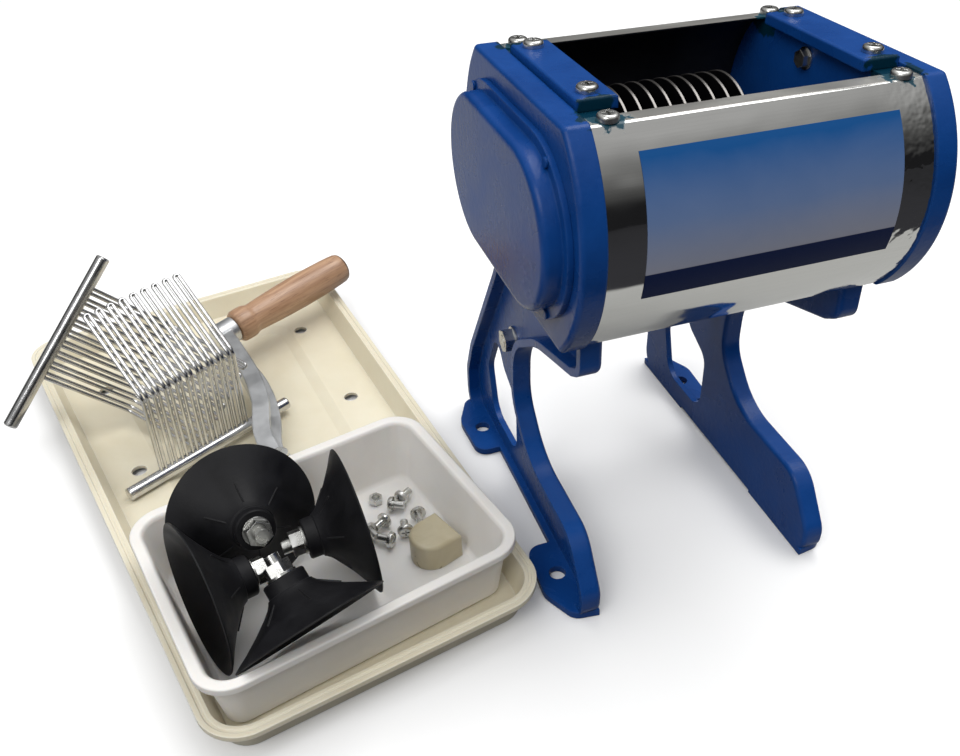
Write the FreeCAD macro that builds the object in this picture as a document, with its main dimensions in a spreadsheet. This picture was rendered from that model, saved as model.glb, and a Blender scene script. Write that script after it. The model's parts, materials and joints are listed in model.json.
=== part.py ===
"""Hand cranked meat slicer with its tray, catch box, feet, crank and stripper combs.

Frame: X runs along the two blade arbors, Y runs from the front to the back,
Z is up. The origin is on the table, at the centre of the four foot holes.
"""
import FreeCAD, Part
import math
import os
from FreeCAD import Placement, Rotation, Vector

doc = FreeCAD.newDocument("MeatSlicer")
sheet = doc.addObject("Spreadsheet::Sheet", "Sizes")

# Dimensions in millimetres and degrees: alias, value or rule, meaning.
SIZES = (
    # body
    ("body_centre_y", -46.0, "middle of the body, from the foot hole centre"),
    ("body_width", 160.0, "length of the two shrouds"),
    ("body_top", 295.0, "height of the end castings' top edge"),
    ("body_bottom", 187.0, "height of the end castings' bottom edge"),
    ("side_rise", 21.0, "radius of the bulge beyond half the body height"),
    ("side_radius", "=(body_top - body_bottom) / 2 + side_rise", "radius of the bulging front and back"),
    ("side_centre", 6.0, "distance of the bulge's centre from the middle"),
    ("corner_radius", 4.0, "rounding where the bulge meets the flats"),
    ("lip_thickness", 12.0, "end casting beyond the shroud's edge"),
    ("seat_depth", 14.0, "end casting under the shroud's edge"),
    ("shroud_drop", 1.2, "shroud surface below the casting's rim"),
    ("shroud_sheet", 0.8, "shroud sheet thickness"),
    ("hopper_half", 49.0, "hopper mouth, half its size front to back"),
    ("outlet_half", 49.5, "slice outlet, half its size front to back"),
    ("rim_round", 2.5, "rounding of the casting's outer rim"),
    # arbors
    ("arbor_spacing", 60.0, "distance between the two arbors"),
    ("arbor_height", "=(body_top + body_bottom) / 2", "height of the arbors"),
    ("blade_radius", 33.0, "round knife radius"),
    ("blade_thickness", 1.5, "round knife thickness"),
    ("blade_bevel", 0.15, "bevel at the knife's rim"),
    ("blade_pitch", 8.0, "distance between knives of one arbor"),
    ("blade_count", 10.0, "knives on the back arbor, one more than on the front"),
    ("blade_shift", -2.7, "middle of the knives from the middle of the body"),
    ("spacer_radius", 12.0, "spacer tube radius"),
    ("shaft_across", 17.0, "hexagon shaft, across flats"),
    ("journal_radius", 7.5, "shaft journal radius"),
    ("running_gap", 0.05, "radial clearance of a running fit"),
    ("bush_radius", 10.0, "bearing bush outer radius"),
    ("bush_length", 13.5, "bearing bush length"),
    ("end_float", 0.4, "axial play of an arbor"),
    ("gear_module", 3.0, "gear module"),
    ("gear_width", 9.0, "gear face width"),
    ("gear_backlash", 0.35, "tooth thinning for backlash"),
    ("nut_across", 19.0, "shaft nut across flats"),
    ("nut_height", 5.0, "shaft nut height"),
    ("seat_radius", 7.0, "crank seat radius"),
    ("seat_length", 24.0, "crank seat length beyond the casting"),
    ("seat_flat", 5.2, "distance of the crank seat's flat from its axis"),
    ("seat_flat_start", 14.0, "where the flat starts, from the seat's shoulder"),
    ("seat_flat_length", 8.0, "length of the crank seat's flat"),
    # gear cover
    ("cover_radius", 39.0, "raised part of the gear cover"),
    ("cover_flange", 5.0, "flange beyond the raised part"),
    ("flange_thickness", 3.0, "cover flange thickness"),
    ("cover_rise", 12.0, "cover's outer face beyond the casting"),
    ("cover_wall", 3.0, "cover wall"),
    ("cover_round", 3.5, "rounding of the cover's outer edge"),
    ("cover_screw_angle", 28.0, "cover screws, angle from the vertical"),
    # top bars and screws
    ("bar_margin", 1.0, "shroud's edge beyond a top bar's outer edge"),
    ("bar_width", 19.0, "width of a top bar"),
    ("bar_outer", "=body_width / 2 - bar_margin", "outer edge of a top bar from the middle"),
    ("bar_inner", "=bar_outer - bar_width", "inner edge of a top bar from the middle"),
    ("bar_half", 41.0, "half the length of a top bar"),
    ("bar_height", 5.6, "thickness of a top bar"),
    ("screw_column", "=body_width / 2 - 9.5", "distance of the top screws from the middle"),
    ("bar_screw_half", 32.3, "bar screws, half their spacing"),
    ("lip_screw_half", 54.0, "shroud screws, half their spacing"),
    ("screw_radius", 2.5, "machine screw shank radius"),
    ("screw_head", 4.9, "pan head radius"),
    ("screw_head_height", 3.2, "pan head height"),
    ("screw_length", 12.0, "machine screw shank length"),
    # legs
    ("leg_inset", 13.7, "inner face of a leg from the shroud's edge"),
    ("leg_inner", "=body_width / 2 - leg_inset", "inner face of a leg from the middle"),
    ("leg_width", 12.0, "width of the leg's edge flange"),
    ("leg_web", 4.0, "leg web thickness"),
    ("leg_rim", 4.5, "leg flange thickness"),
    ("leg_round", 2.5, "rounding of the leg's inner edge"),
    ("leg_toe", 62.5, "leg toe in front of the body's middle"),
    ("leg_heel", 156.0, "leg heel behind the body's middle"),
    ("foot_trim", 4.0, "how far the foot is set back between the ears"),
    ("ear_reach", 25.5, "how far the ears reach out from the leg's inner face"),
    ("ear_length", 25.0, "from the foot hole to the ear's near end"),
    ("ear_nose", 12.0, "from the foot hole to the ear's outer corner"),
    ("ear_nose_round", 16.0, "radius of the ear's outer corner"),
    ("ear_heel_round", 9.0, "radius of the ear's other corners"),
    ("foot_hole_inset", 12.55, "foot holes from the leg's inner face"),
    ("foot_hole_x", "=leg_inner + foot_hole_inset", "foot holes from the middle"),
    ("foot_hole_y", 73.0, "foot holes from the origin, front and back"),
    ("foot_hole_radius", 5.0, "foot hole radius"),
    ("stay_y", 69.0, "stay rod behind the body's middle"),
    ("stay_z", 110.0, "stay rod height"),
    ("stay_radius", 4.0, "stay rod radius"),
    ("stay_nut_across", 13.0, "stay nut across flats"),
    ("stay_nut_height", 6.5, "stay nut height"),
    ("leg_bolt_half", 30.0, "leg bolts, half their spacing"),
    ("leg_bolt_x", "=leg_inner + 8.3", "leg bolts from the middle"),
    ("leg_bolt_head", 3.9, "leg bolt head radius"),
    ("leg_bolt_length", 14.0, "leg bolt thread in the casting"),
    ("comb_bolt_across", 8.0, "comb fixing bolt across flats"),
    ("comb_bolt_half", 10.0, "comb fixing bolts, half their spacing"),
    ("comb_bolt_drop", 11.4, "upper comb fixing bolts below the body's top"),
    ("comb_bolt_rise", 25.0, "lower comb fixing bolts above the body's bottom"),
    # tray
    ("tray_angle", 11.6, "tray turned about the vertical"),
    ("tray_x", -228.5, "tray middle"),
    ("tray_y", 88.2, "tray middle"),
    ("tray_front", 192.0, "tray width at its front"),
    ("tray_back", 240.0, "tray width at its back"),
    ("tray_length", 420.0, "tray length"),
    ("tray_height", 22.0, "tray rim height"),
    ("tray_wall", 2.6, "tray wall"),
    ("tray_lip", 5.0, "tray rim width beyond the wall"),
    ("tray_ledge", 5.6, "height of the tray's ledge"),
    ("tray_margin", 50.0, "edge of the sunk panel from the tray's edge"),
    ("tray_slope", 4.0, "half the width of the panel's sloping edge"),
    ("tray_panel_corner", 16.0, "corner radius of the sunk panel"),
    ("tray_hole_x", 77.0, "tray holes from the middle"),
    ("tray_row", 37.0, "tray holes under the back feet, from the middle"),
    ("tray_far_row", 143.0, "tray holes at the back, from the middle"),
    ("tray_corner", 24.0, "tray corner radius"),
    ("tray_hole_radius", 5.0, "tray hole radius"),
    # catch box
    ("box_angle", 14.0, "box turned about the vertical"),
    ("box_x", -207.0, "box middle"),
    ("box_y", -37.0, "box middle, from the origin"),
    ("box_length", 184.0, "box rim, long side"),
    ("box_depth", 144.0, "box rim, short side"),
    ("box_height", 44.0, "box height"),
    ("box_wall", 2.0, "box wall"),
    ("box_rim", 5.0, "box rim beyond the wall"),
    ("box_rim_height", 5.0, "box rim height"),
    ("box_draft", 7.0, "how far each wall leans in"),
    ("box_corner", 20.0, "box corner radius"),
    ("laid_gap", 0.3, "gap under a piece that is laid down"),
    # suction feet
    ("cup_radius", 42.6, "suction cup radius"),
    ("cup_height", 30.0, "suction cup height"),
    ("cup_shoulder", 22.0, "height at which the cone meets the hub"),
    ("cup_hub", 11.5, "hub radius"),
    ("cup_wall", 2.4, "cup wall at the rim"),
    ("stud_radius", 4.0, "cup stud radius"),
    ("stud_length", 13.0, "cup stud beyond the hub"),
    ("stud_root", 10.0, "cup stud inside the hub"),
    ("cup_crown", 5.0, "radius of the flat inside the cup"),
    ("cup_nut_across", 13.0, "cup nut across flats"),
    ("cup_nut_height", 6.5, "cup nut height"),
    ("washer_radius", 8.0, "cup washer radius"),
    ("washer_thickness", 1.5, "cup washer thickness"),
    # crank
    ("crank_throw", 150.0, "crank radius"),
    ("crank_offset", 60.0, "how far the crank arm cranks outwards"),
    ("arm_width", 20.0, "crank arm width"),
    ("arm_thickness", 11.8, "crank arm thickness"),
    ("arm_taper", 3.5, "how much each edge of the crank arm leans in towards the grip"),
    ("arm_flange", 3.5, "thickness of the crank arm's two flanges"),
    ("arm_rib", 4.8, "how far the crank arm's lower flange stands out"),
    ("arm_recess", 5.0, "depth of the crank arm's recess"),
    ("boss_front", 5.5, "grip side of the crank arm's boss"),
    ("boss_back", 10.5, "back of the crank arm's boss"),
    ("hub_radius", 14.0, "crank hub radius"),
    ("hub_length", 24.0, "crank hub length"),
    ("hub_clearance", 0.1, "crank hub bore over the seat"),
    ("clamp_radius", 3.0, "crank clamp screw radius"),
    ("clamp_inset", 6.0, "crank clamp screw from the hub's outer face"),
    ("grip_radius", 13.5, "wooden grip radius"),
    ("grip_neck", 11.0, "wooden grip's neck radius"),
    ("grip_length", 106.0, "wooden grip length"),
    ("grip_gap", 1.0, "space between the arm's boss and the grip"),
    ("spindle_radius", 4.5, "grip spindle radius"),
    ("spindle_head", 6.5, "radius of the grip spindle's head"),
    ("spindle_sink", 4.0, "depth of the recess for the spindle's head"),
    ("crank_x", -237.1, "grip end of the crank arm"),
    ("crank_y", 216.1, "grip end of the crank arm"),
    ("crank_z", 34.0, "height of the grip end of the crank arm"),
    ("crank_angle", 28.0, "direction of the grip about the vertical"),
    ("crank_tilt", 4.8, "how far the grip points up"),
    ("crank_dip", 3.9, "how far the arm slopes down to the hub"),
    # combs
    ("comb_rod_radius", 4.5, "comb rod radius"),
    ("comb_rod_length", 128.0, "comb rod length"),
    ("wire_radius", 1.25, "comb wire radius"),
    ("wire_pair", 3.4, "distance between the two wires of a pair"),
    ("comb_root", 66.0, "comb wire from rod to bend"),
    ("comb_tip", 64.0, "comb wire from bend to tip"),
    ("comb_bend", 53.5, "angle of the comb's bend"),
    ("comb_bend_radius", 6.0, "radius of the comb's bend"),
    # shaft cap
    ("cap_radius", 13.0, "shaft cap radius"),
    ("cap_length", 26.0, "shaft cap length"),
    ("cap_height", 18.0, "shaft cap height"),
    ("cap_wall", 1.8, "shaft cap wall"),
)


for row, (alias, value, meaning) in enumerate(SIZES, start=2):
    sheet.set("A%d" % row, alias)
    sheet.set("B%d" % row, str(value))
    sheet.setAlias("B%d" % row, alias)
    sheet.set("C%d" % row, meaning)
doc.recompute()


class Values:
    """The sheet's numbers, by their alias."""


V = Values()
for alias, _, _ in SIZES:
    setattr(V, alias, float(sheet.get(alias)))

NODES = []
X_AXIS = Rotation(Vector(0, 1, 0), 90)


# ---------------------------------------------------------------- helpers
def keep(obj, label):
    """Name a finished sub-part and list it for export."""
    obj.Label = label
    NODES.append(obj)
    return obj


def bind(obj, **expressions):
    """Bind properties to sheet cells; cell aliases are written bare."""
    for prop, text in expressions.items():
        obj.setExpression(prop.replace("__", "."), text)
    return obj


def place(obj, where, rotation=Rotation()):
    """Put an object at three expressions, turned by a fixed rotation."""
    obj.Placement = Placement(Vector(0, 0, 0), rotation)
    for axis, text in zip("xyz", where):
        obj.setExpression("Placement.Base." + axis, text)
    return obj


def cylinder(name, radius, height, where, rotation=Rotation()):
    obj = doc.addObject("Part::Cylinder", name)
    bind(obj, Radius=radius, Height=height)
    return place(obj, where, rotation)


def cuboid(name, size, where, rotation=Rotation()):
    obj = doc.addObject("Part::Box", name)
    bind(obj, Length=size[0], Width=size[1], Height=size[2])
    return place(obj, where, rotation)


def hexagon(name, across, height, where, rotation=Rotation()):
    obj = doc.addObject("Part::Prism", name)
    obj.Polygon = 6
    bind(obj, Circumradius="(%s) / 2 / cos(30)" % across, Height=height)
    return place(obj, where, rotation)


def fuse(name, *shapes):
    obj = doc.addObject("Part::MultiFuse", name)
    obj.Shapes = list(shapes)
    obj.Refine = True
    return obj


def cut(name, base, *tools):
    obj = doc.addObject("Part::Cut", name)
    obj.Base = base
    obj.Tool = tools[0] if len(tools) == 1 else fuse(name + "_tools", *tools)
    return obj


def feature(name, shape, placement=None):
    obj = doc.addObject("Part::Feature", name)
    obj.Shape = shape
    if placement is not None:
        obj.Placement = placement
    return obj


def group(name, template, placements):
    """Copies of one finished piece, as separate solids of one node."""
    doc.recompute()
    copies = []
    for spot in placements:
        shape = template.Shape.copy()
        shape.Placement = spot.multiply(shape.Placement)
        copies.append(shape)
    return feature(name, Part.makeCompound(copies))


def mirror_x(name, source):
    obj = doc.addObject("Part::Mirroring", name)
    obj.Source = source
    obj.Normal = Vector(1, 0, 0)
    return obj


def body_sketch(body, name, role, geometry, offset=None):
    """A sketch on one of the body's own origin planes."""
    sketch = body.newObject("Sketcher::SketchObject", name)
    plane = [f for f in body.Origin.OriginFeatures if f.Role == role][0]
    sketch.AttachmentSupport = [(plane, "")]
    sketch.MapMode = "FlatFace"
    if offset is not None:
        sketch.setExpression("AttachmentOffset.Base.z", offset)
    sketch.addGeometry(geometry, False)
    return sketch


def pad(body, sketch, length, reverse=False):
    obj = body.newObject("PartDesign::Pad", sketch.Name + "_pad")
    obj.Profile = sketch
    obj.setExpression("Length", length)
    obj.Reversed = reverse
    body.Tip = obj
    return obj


def pocket(body, sketch, length, reverse=False):
    obj = body.newObject("PartDesign::Pocket", sketch.Name + "_pocket")
    obj.Profile = sketch
    obj.setExpression("Length", length)
    obj.Reversed = reverse
    body.Tip = obj
    return obj


def point(pair):
    return Vector(pair[0], pair[1], 0)


def rounded(corners):
    """Lines and tangent arcs through (x, y, radius) corners, closed."""
    geometry = []
    ends = []
    count = len(corners)
    for i, (x, y, radius) in enumerate(corners):
        here = Vector(x, y, 0)
        before = point(corners[i - 1]) - here
        after = point(corners[(i + 1) % count]) - here
        before.normalize()
        after.normalize()
        half = before.getAngle(after) / 2
        if radius < 0.01 or half > 1.5:
            ends.append((here, here))
            continue
        reach = radius / math.tan(half)
        start, end = here + before * reach, here + after * reach
        middle = before + after
        middle.normalize()
        top = here + middle * (radius / math.sin(half) - radius)
        ends.append((start, end))
        geometry.append((i, Part.Arc(start, top, end)))
    for i in range(count):
        line_start, line_end = ends[i][1], ends[(i + 1) % count][0]
        if (line_end - line_start).Length > 0.001:
            geometry.append((i + 0.5, Part.LineSegment(line_start, line_end)))
    return [item for _, item in sorted(geometry, key=lambda pair: pair[0])]


def inset(corners, distance):
    """The same corners moved inwards; the list runs counter-clockwise."""
    result = []
    count = len(corners)
    for i, (x, y, radius) in enumerate(corners):
        here = Vector(x, y, 0)
        back = here - point(corners[i - 1])
        ahead = point(corners[(i + 1) % count]) - here
        back.normalize()
        ahead.normalize()
        turn = back.x * ahead.y - back.y * ahead.x
        normal_back = Vector(-back.y, back.x, 0)
        normal_ahead = Vector(-ahead.y, ahead.x, 0)
        middle = normal_back + normal_ahead
        middle = middle * (distance / middle.dot(normal_back))
        corner = here + middle
        side = -distance if turn > 0 else distance
        result.append((corner.x, corner.y, max(radius + side, 0.6) if radius > 0 else 0))
    return result


def stadium(centre_y, centre_z, half, radius):
    """A slot outline along Y in a YZ sketch."""
    left, right = centre_y - half, centre_y + half
    top, bottom = centre_z + radius, centre_z - radius
    return [
        Part.LineSegment(Vector(left, bottom, 0), Vector(right, bottom, 0)),
        Part.Arc(Vector(right, bottom, 0), Vector(right + radius, centre_z, 0), Vector(right, top, 0)),
        Part.LineSegment(Vector(right, top, 0), Vector(left, top, 0)),
        Part.Arc(Vector(left, top, 0), Vector(left - radius, centre_z, 0), Vector(left, bottom, 0)),
    ]


def circle(x, y, radius):
    return Part.Circle(Vector(x, y, 0), Vector(0, 0, 1), radius)


def prism(geometry, vector):
    """A solid from closed sketch-like geometry, pushed along a vector."""
    wire = Part.Wire(Part.__sortEdges__([item.toShape() for item in geometry]))
    return Part.Face(wire).extrude(vector)


# ------------------------------------------------------- derived places
BODY_Y = V.body_centre_y
BODY_Z = (V.body_top + V.body_bottom) / 2
HALF_WIDTH = V.body_width / 2
CASTING_OUT = HALF_WIDTH + V.lip_thickness
CASTING_IN = HALF_WIDTH - V.seat_depth
SEAT_DROP = V.shroud_drop + V.shroud_sheet
BACK_Y = BODY_Y + V.arbor_spacing / 2
FRONT_Y = BODY_Y - V.arbor_spacing / 2
AT_BACK = "Sizes.body_centre_y + Sizes.arbor_spacing / 2"
AT_FRONT = "Sizes.body_centre_y - Sizes.arbor_spacing / 2"
X_OUT = "Sizes.body_width / 2 + Sizes.lip_thickness"
X_IN = "Sizes.body_width / 2 - Sizes.seat_depth"


def side_points(drop):
    """Key points of the body's outline on its back half, dropped inwards."""
    radius = V.side_radius - drop
    half_height = (V.body_top - V.body_bottom) / 2 - drop
    corner = max(V.corner_radius - drop, 1.0)
    rise = half_height - corner
    reach = math.sqrt((radius - corner) ** 2 - rise ** 2)
    angle = math.atan2(rise, reach)
    middle = (angle + math.pi / 2) / 2
    return {
        "flat": (V.side_centre + reach, half_height),
        "bend": (V.side_centre + reach + corner * math.cos(middle), rise + corner * math.sin(middle)),
        "join": (V.side_centre + radius * math.cos(angle), radius * math.sin(angle)),
        "bulge": (V.side_centre + radius, 0.0),
    }


def at(side, vertical, pair):
    """A point of the outline on one side (+1 back) and height (+1 top)."""
    return Vector(BODY_Y + side * pair[0], BODY_Z + vertical * pair[1], 0)


def body_outline(drop):
    """The closed outline of the body, all round."""
    key = side_points(drop)
    edges = []
    for side in (1, -1):
        edges.append(Part.Arc(at(side, 1, key["join"]), at(side, 1, key["bulge"]), at(side, -1, key["join"])))
        for up in (1, -1):
            edges.append(Part.Arc(at(side, up, key["flat"]), at(side, up, key["bend"]),
                                  at(side, up, key["join"])))
    for up in (1, -1):
        edges.append(Part.LineSegment(at(1, up, key["flat"]), at(-1, up, key["flat"])))
    return edges


# ------------------------------------------------------------ end castings
def casting_blank(name):
    """Outer lip and inner seat of an end casting, on the +X side."""
    body = doc.addObject("PartDesign::Body", name)
    lip = body_sketch(body, name + "_lip", "YZ_Plane", body_outline(0), "Sizes.body_width / 2")
    rim = pad(body, lip, "Sizes.lip_thickness")
    doc.recompute()
    outer = [i + 1 for i, face in enumerate(rim.Shape.Faces) if abs(face.CenterOfMass.x - CASTING_OUT) < 0.01]
    edges = ["Edge%d" % (i + 1) for i, edge in enumerate(rim.Shape.Edges)
             if any(edge.isSame(other) for other in rim.Shape.Faces[outer[0] - 1].Edges)]
    fillet = body.newObject("PartDesign::Fillet", name + "_rim")
    fillet.Base = (rim, edges)
    fillet.setExpression("Radius", "Sizes.rim_round")
    body.Tip = fillet
    seat = body_sketch(body, name + "_seat", "YZ_Plane", body_outline(SEAT_DROP), "Sizes.body_width / 2")
    pad(body, seat, "Sizes.seat_depth", reverse=True)
    return body


def casting_holes(name):
    """Screw holes that both end castings have, on the +X side."""
    tools = []
    spots = [(V.screw_column, side * V.bar_screw_half) for side in (1, -1)]
    spots += [(V.screw_column, side * V.lip_screw_half) for side in (1, -1)]
    for i, (x, y) in enumerate(spots):
        rule = "Sizes.bar_screw_half" if i < 2 else "Sizes.lip_screw_half"
        sign = "+" if y > 0 else "-"
        tools.append(cylinder(
            "%s_top_%d" % (name, i), "Sizes.screw_radius", "Sizes.screw_length",
            ("Sizes.screw_column", "Sizes.body_centre_y %s %s" % (sign, rule),
             "Sizes.body_top - Sizes.screw_length")))
    for i, sign in enumerate("+-"):
        tools.append(cylinder(
            "%s_leg_%d" % (name, i), "Sizes.screw_radius", "Sizes.leg_bolt_length + 2",
            ("Sizes.leg_bolt_x", "Sizes.body_centre_y %s Sizes.leg_bolt_half" % sign,
             "Sizes.body_bottom - 2 + Sizes.shroud_drop + Sizes.shroud_sheet")))
    for i, where in enumerate((AT_BACK, AT_FRONT)):
        tools.append(cylinder(
            "%s_bush_%d" % (name, i), "Sizes.bush_radius", "Sizes.seat_depth",
            (X_IN, where, "Sizes.arbor_height"), X_AXIS))
    return tools


def right_casting():
    body = casting_blank("right_blank")
    hollow = body_sketch(body, "right_hollow", "YZ_Plane", body_outline(8.0), X_OUT)
    pocket(body, hollow, "Sizes.lip_thickness - 3")
    boss = body_sketch(body, "right_boss", "YZ_Plane",
                       [circle(y, V.arbor_height, V.bush_radius + 7) for y in (BACK_Y, FRONT_Y)],
                       X_OUT + " - Sizes.lip_thickness + 2.5")
    pad(body, boss, "Sizes.lip_thickness - 2.5")
    tools = casting_holes("right_tool")
    tools.append(cylinder("right_shaft_hole", "Sizes.journal_radius + 0.5", "Sizes.lip_thickness + 4",
                          ("Sizes.body_width / 2 - 2", AT_BACK, "Sizes.arbor_height"), X_AXIS))
    tools.append(cylinder("right_blind_hole", "Sizes.journal_radius + 0.5", "6",
                          ("Sizes.body_width / 2 - 2", AT_FRONT, "Sizes.arbor_height"), X_AXIS))
    keep(cut("right_end_part", body, *tools), "right_end_casting")


def left_casting():
    body = casting_blank("left_blank")
    chamber = body_sketch(body, "left_chamber", "YZ_Plane",
                          stadium(BODY_Y, V.arbor_height, V.arbor_spacing / 2, V.cover_radius - V.cover_wall),
                          X_OUT)
    pocket(body, chamber, "Sizes.lip_thickness")
    tools = casting_holes("left_tool")
    for i, spot in enumerate(cover_screw_spots()):
        tools.append(cylinder("left_cover_hole_%d" % i, "1.5", "7",
                              (X_OUT + " - 7", "%.6f" % spot[0], "%.6f" % spot[1]), X_AXIS))
    solid = cut("left_end_master", body, *tools)
    keep(mirror_x("left_end_part", solid), "left_end_casting")


def cover_screw_spots():
    """Centres of the four cover screws, on the flange's two round ends."""
    reach = V.cover_radius + V.cover_flange / 2
    spots = []
    for side in (1, -1):
        for up in (1, -1):
            angle = math.radians(V.cover_screw_angle)
            spots.append((BODY_Y + side * (V.arbor_spacing / 2 + reach * math.sin(angle)),
                          V.arbor_height + up * reach * math.cos(angle)))
    return spots


def gear_cover():
    """Cast cap over the two gears: a thin flange and a raised, rounded boss."""
    body = doc.addObject("PartDesign::Body", "cover_body")
    half = V.arbor_spacing / 2
    flange = body_sketch(body, "cover_flange_sketch", "YZ_Plane",
                         stadium(BODY_Y, V.arbor_height, half, V.cover_radius + V.cover_flange), X_OUT)
    pad(body, flange, "Sizes.flange_thickness")
    boss = body_sketch(body, "cover_boss_sketch", "YZ_Plane",
                       stadium(BODY_Y, V.arbor_height, half, V.cover_radius), X_OUT)
    raised = pad(body, boss, "Sizes.cover_rise")
    doc.recompute()
    face_x = CASTING_OUT + V.cover_rise
    rim = ["Edge%d" % (i + 1) for i, edge in enumerate(raised.Shape.Edges)
           if all(abs(v.X - face_x) < 0.01 for v in edge.Vertexes)]
    fillet = body.newObject("PartDesign::Fillet", "cover_edge")
    fillet.Base = (raised, rim)
    fillet.setExpression("Radius", "Sizes.cover_round")
    body.Tip = fillet
    hollow = body_sketch(body, "cover_hollow_sketch", "YZ_Plane",
                         stadium(BODY_Y, V.arbor_height, half, V.cover_radius - V.cover_wall), X_OUT)
    pocket(body, hollow, "Sizes.cover_rise - Sizes.cover_wall", reverse=True)
    holes = body_sketch(body, "cover_holes_sketch", "YZ_Plane",
                        [circle(y, z, 1.5) for y, z in cover_screw_spots()],
                        X_OUT + " + Sizes.flange_thickness")
    pocket(body, holes, "Sizes.flange_thickness")
    keep(mirror_x("gear_cover_part", body), "gear_cover")
    head = cylinder("cover_screw_head", "2.4", "1.2", ("0", "0", "0"))
    shank = cylinder("cover_screw_shank", "1.5", "Sizes.flange_thickness + 5",
                     ("0", "0", "-Sizes.flange_thickness - 5"))
    screw = fuse("cover_screw", head, shank)
    x = -(CASTING_OUT + V.flange_thickness)
    turn = Rotation(Vector(0, 1, 0), -90)
    spots = [Placement(Vector(x, y, z), turn) for y, z in cover_screw_spots()]
    keep(group("cover_screw_group", screw, spots), "gear_cover_screws")


# ------------------------------------------------------------ shrouds, bars
def shroud(side, name, label):
    """Bent sheet over the front (-1) or the back (+1) of the body."""
    outer, inner = side_points(V.shroud_drop), side_points(SEAT_DROP)
    mouth, outlet = V.hopper_half, V.outlet_half
    edges = []
    for key in (outer, inner):
        edges.append(Part.LineSegment(at(side, 1, (mouth, key["flat"][1])), at(side, 1, key["flat"])))
        edges.append(Part.Arc(at(side, 1, key["flat"]), at(side, 1, key["bend"]), at(side, 1, key["join"])))
        edges.append(Part.Arc(at(side, 1, key["join"]), at(side, 1, key["bulge"]), at(side, -1, key["join"])))
        edges.append(Part.Arc(at(side, -1, key["join"]), at(side, -1, key["bend"]),
                              at(side, -1, key["flat"])))
        edges.append(Part.LineSegment(at(side, -1, key["flat"]), at(side, -1, (outlet, key["flat"][1]))))
    for reach, up in ((mouth, 1), (outlet, -1)):
        edges.append(Part.LineSegment(at(side, up, (reach, outer["flat"][1])),
                                      at(side, up, (reach, inner["flat"][1]))))
    body = doc.addObject("PartDesign::Body", name + "_body")
    sketch = body_sketch(body, name + "_section", "YZ_Plane", edges, "-Sizes.body_width / 2")
    pad(body, sketch, "Sizes.body_width")
    sign = "+" if side > 0 else "-"
    holes = []
    for i, x_sign in enumerate(("", "-")):
        holes.append(cylinder("%s_hole_%d" % (name, i), "Sizes.screw_radius", "8",
                              (x_sign + "Sizes.screw_column",
                               "Sizes.body_centre_y %s Sizes.lip_screw_half" % sign,
                               "Sizes.body_top - 6")))
    keep(cut(name + "_part", body, *holes), label)


def top_bar(sign, name, label):
    """Bar bolted across the top of an end casting."""
    start = "Sizes.bar_inner" if sign > 0 else "-Sizes.bar_outer"
    bottom = "Sizes.body_top - Sizes.shroud_drop - Sizes.shroud_sheet"
    bar = cuboid(name + "_bar",
                 ("Sizes.bar_outer - Sizes.bar_inner", "2 * Sizes.bar_half", "Sizes.bar_height"),
                 (start, "Sizes.body_centre_y - Sizes.bar_half", bottom))
    bevel = doc.addObject("Part::Chamfer", name + "_bevel")
    doc.recompute()
    bevel.Base = bar
    top = max(vertex.Z for vertex in bar.Shape.Vertexes)
    bevel.Edges = [(i + 1, 0.8, 0.8) for i, edge in enumerate(bar.Shape.Edges)
                   if all(abs(vertex.Z - top) < 0.01 for vertex in edge.Vertexes)]
    x_sign = "" if sign > 0 else "-"
    holes = []
    for i, y_sign in enumerate("+-"):
        holes.append(cylinder("%s_hole_%d" % (name, i), "Sizes.screw_radius", "Sizes.bar_height + 4",
                              (x_sign + "Sizes.screw_column",
                               "Sizes.body_centre_y %s Sizes.bar_screw_half" % y_sign,
                               bottom + " - 2")))
    keep(cut(name + "_part", bevel, *holes), label)


def pan_screw(name, length):
    """Pan head machine screw, its head's seat at the origin, pointing down."""
    head = cylinder(name + "_head", "Sizes.screw_head", "Sizes.screw_head_height", ("0", "0", "0"))
    crown = doc.addObject("Part::Fillet", name + "_crown")
    doc.recompute()
    crown.Base = head
    crown.Edges = [(i + 1, 1.8, 1.8) for i, edge in enumerate(head.Shape.Edges)
                   if all(vertex.Z > V.screw_head_height - 0.01 for vertex in edge.Vertexes)
                   and edge.Length > V.screw_head * 6]
    slots = [cuboid("%s_slot_%d" % (name, i), size, where) for i, (size, where) in enumerate((
        (("5.2", "1.0", "1.8"), ("-2.6", "-0.5", "Sizes.screw_head_height - 1.8")),
        (("1.0", "5.2", "1.8"), ("-0.5", "-2.6", "Sizes.screw_head_height - 1.8")),
    ))]
    top = cut(name + "_cross", crown, *slots)
    shank = cylinder(name + "_shank", "Sizes.screw_radius", length, ("0", "0", "-(%s)" % length))
    return fuse(name, top, shank)


def top_screws():
    """Four screws hold the shroud lips and four hold the bars."""
    lip_z = V.body_top - V.shroud_drop
    bar_z = V.body_top - SEAT_DROP + V.bar_height
    lip_screw = pan_screw("lip_screw", "Sizes.screw_length - 3")
    bar_screw = pan_screw("bar_screw", "Sizes.screw_length + Sizes.bar_height - 3")
    for template, half, z, label in ((lip_screw, V.lip_screw_half, lip_z, "shroud_screws"),
                                     (bar_screw, V.bar_screw_half, bar_z, "top_bar_screws")):
        spots = []
        for i, x in enumerate((V.screw_column, -V.screw_column)):
            for j, side in enumerate((1, -1)):
                turn = Rotation(Vector(0, 0, 1), 25 + 37 * i + 22 * j)
                spots.append(Placement(Vector(x, BODY_Y + side * half, z), turn))
        keep(group(label + "_group", template, spots), label)


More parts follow.
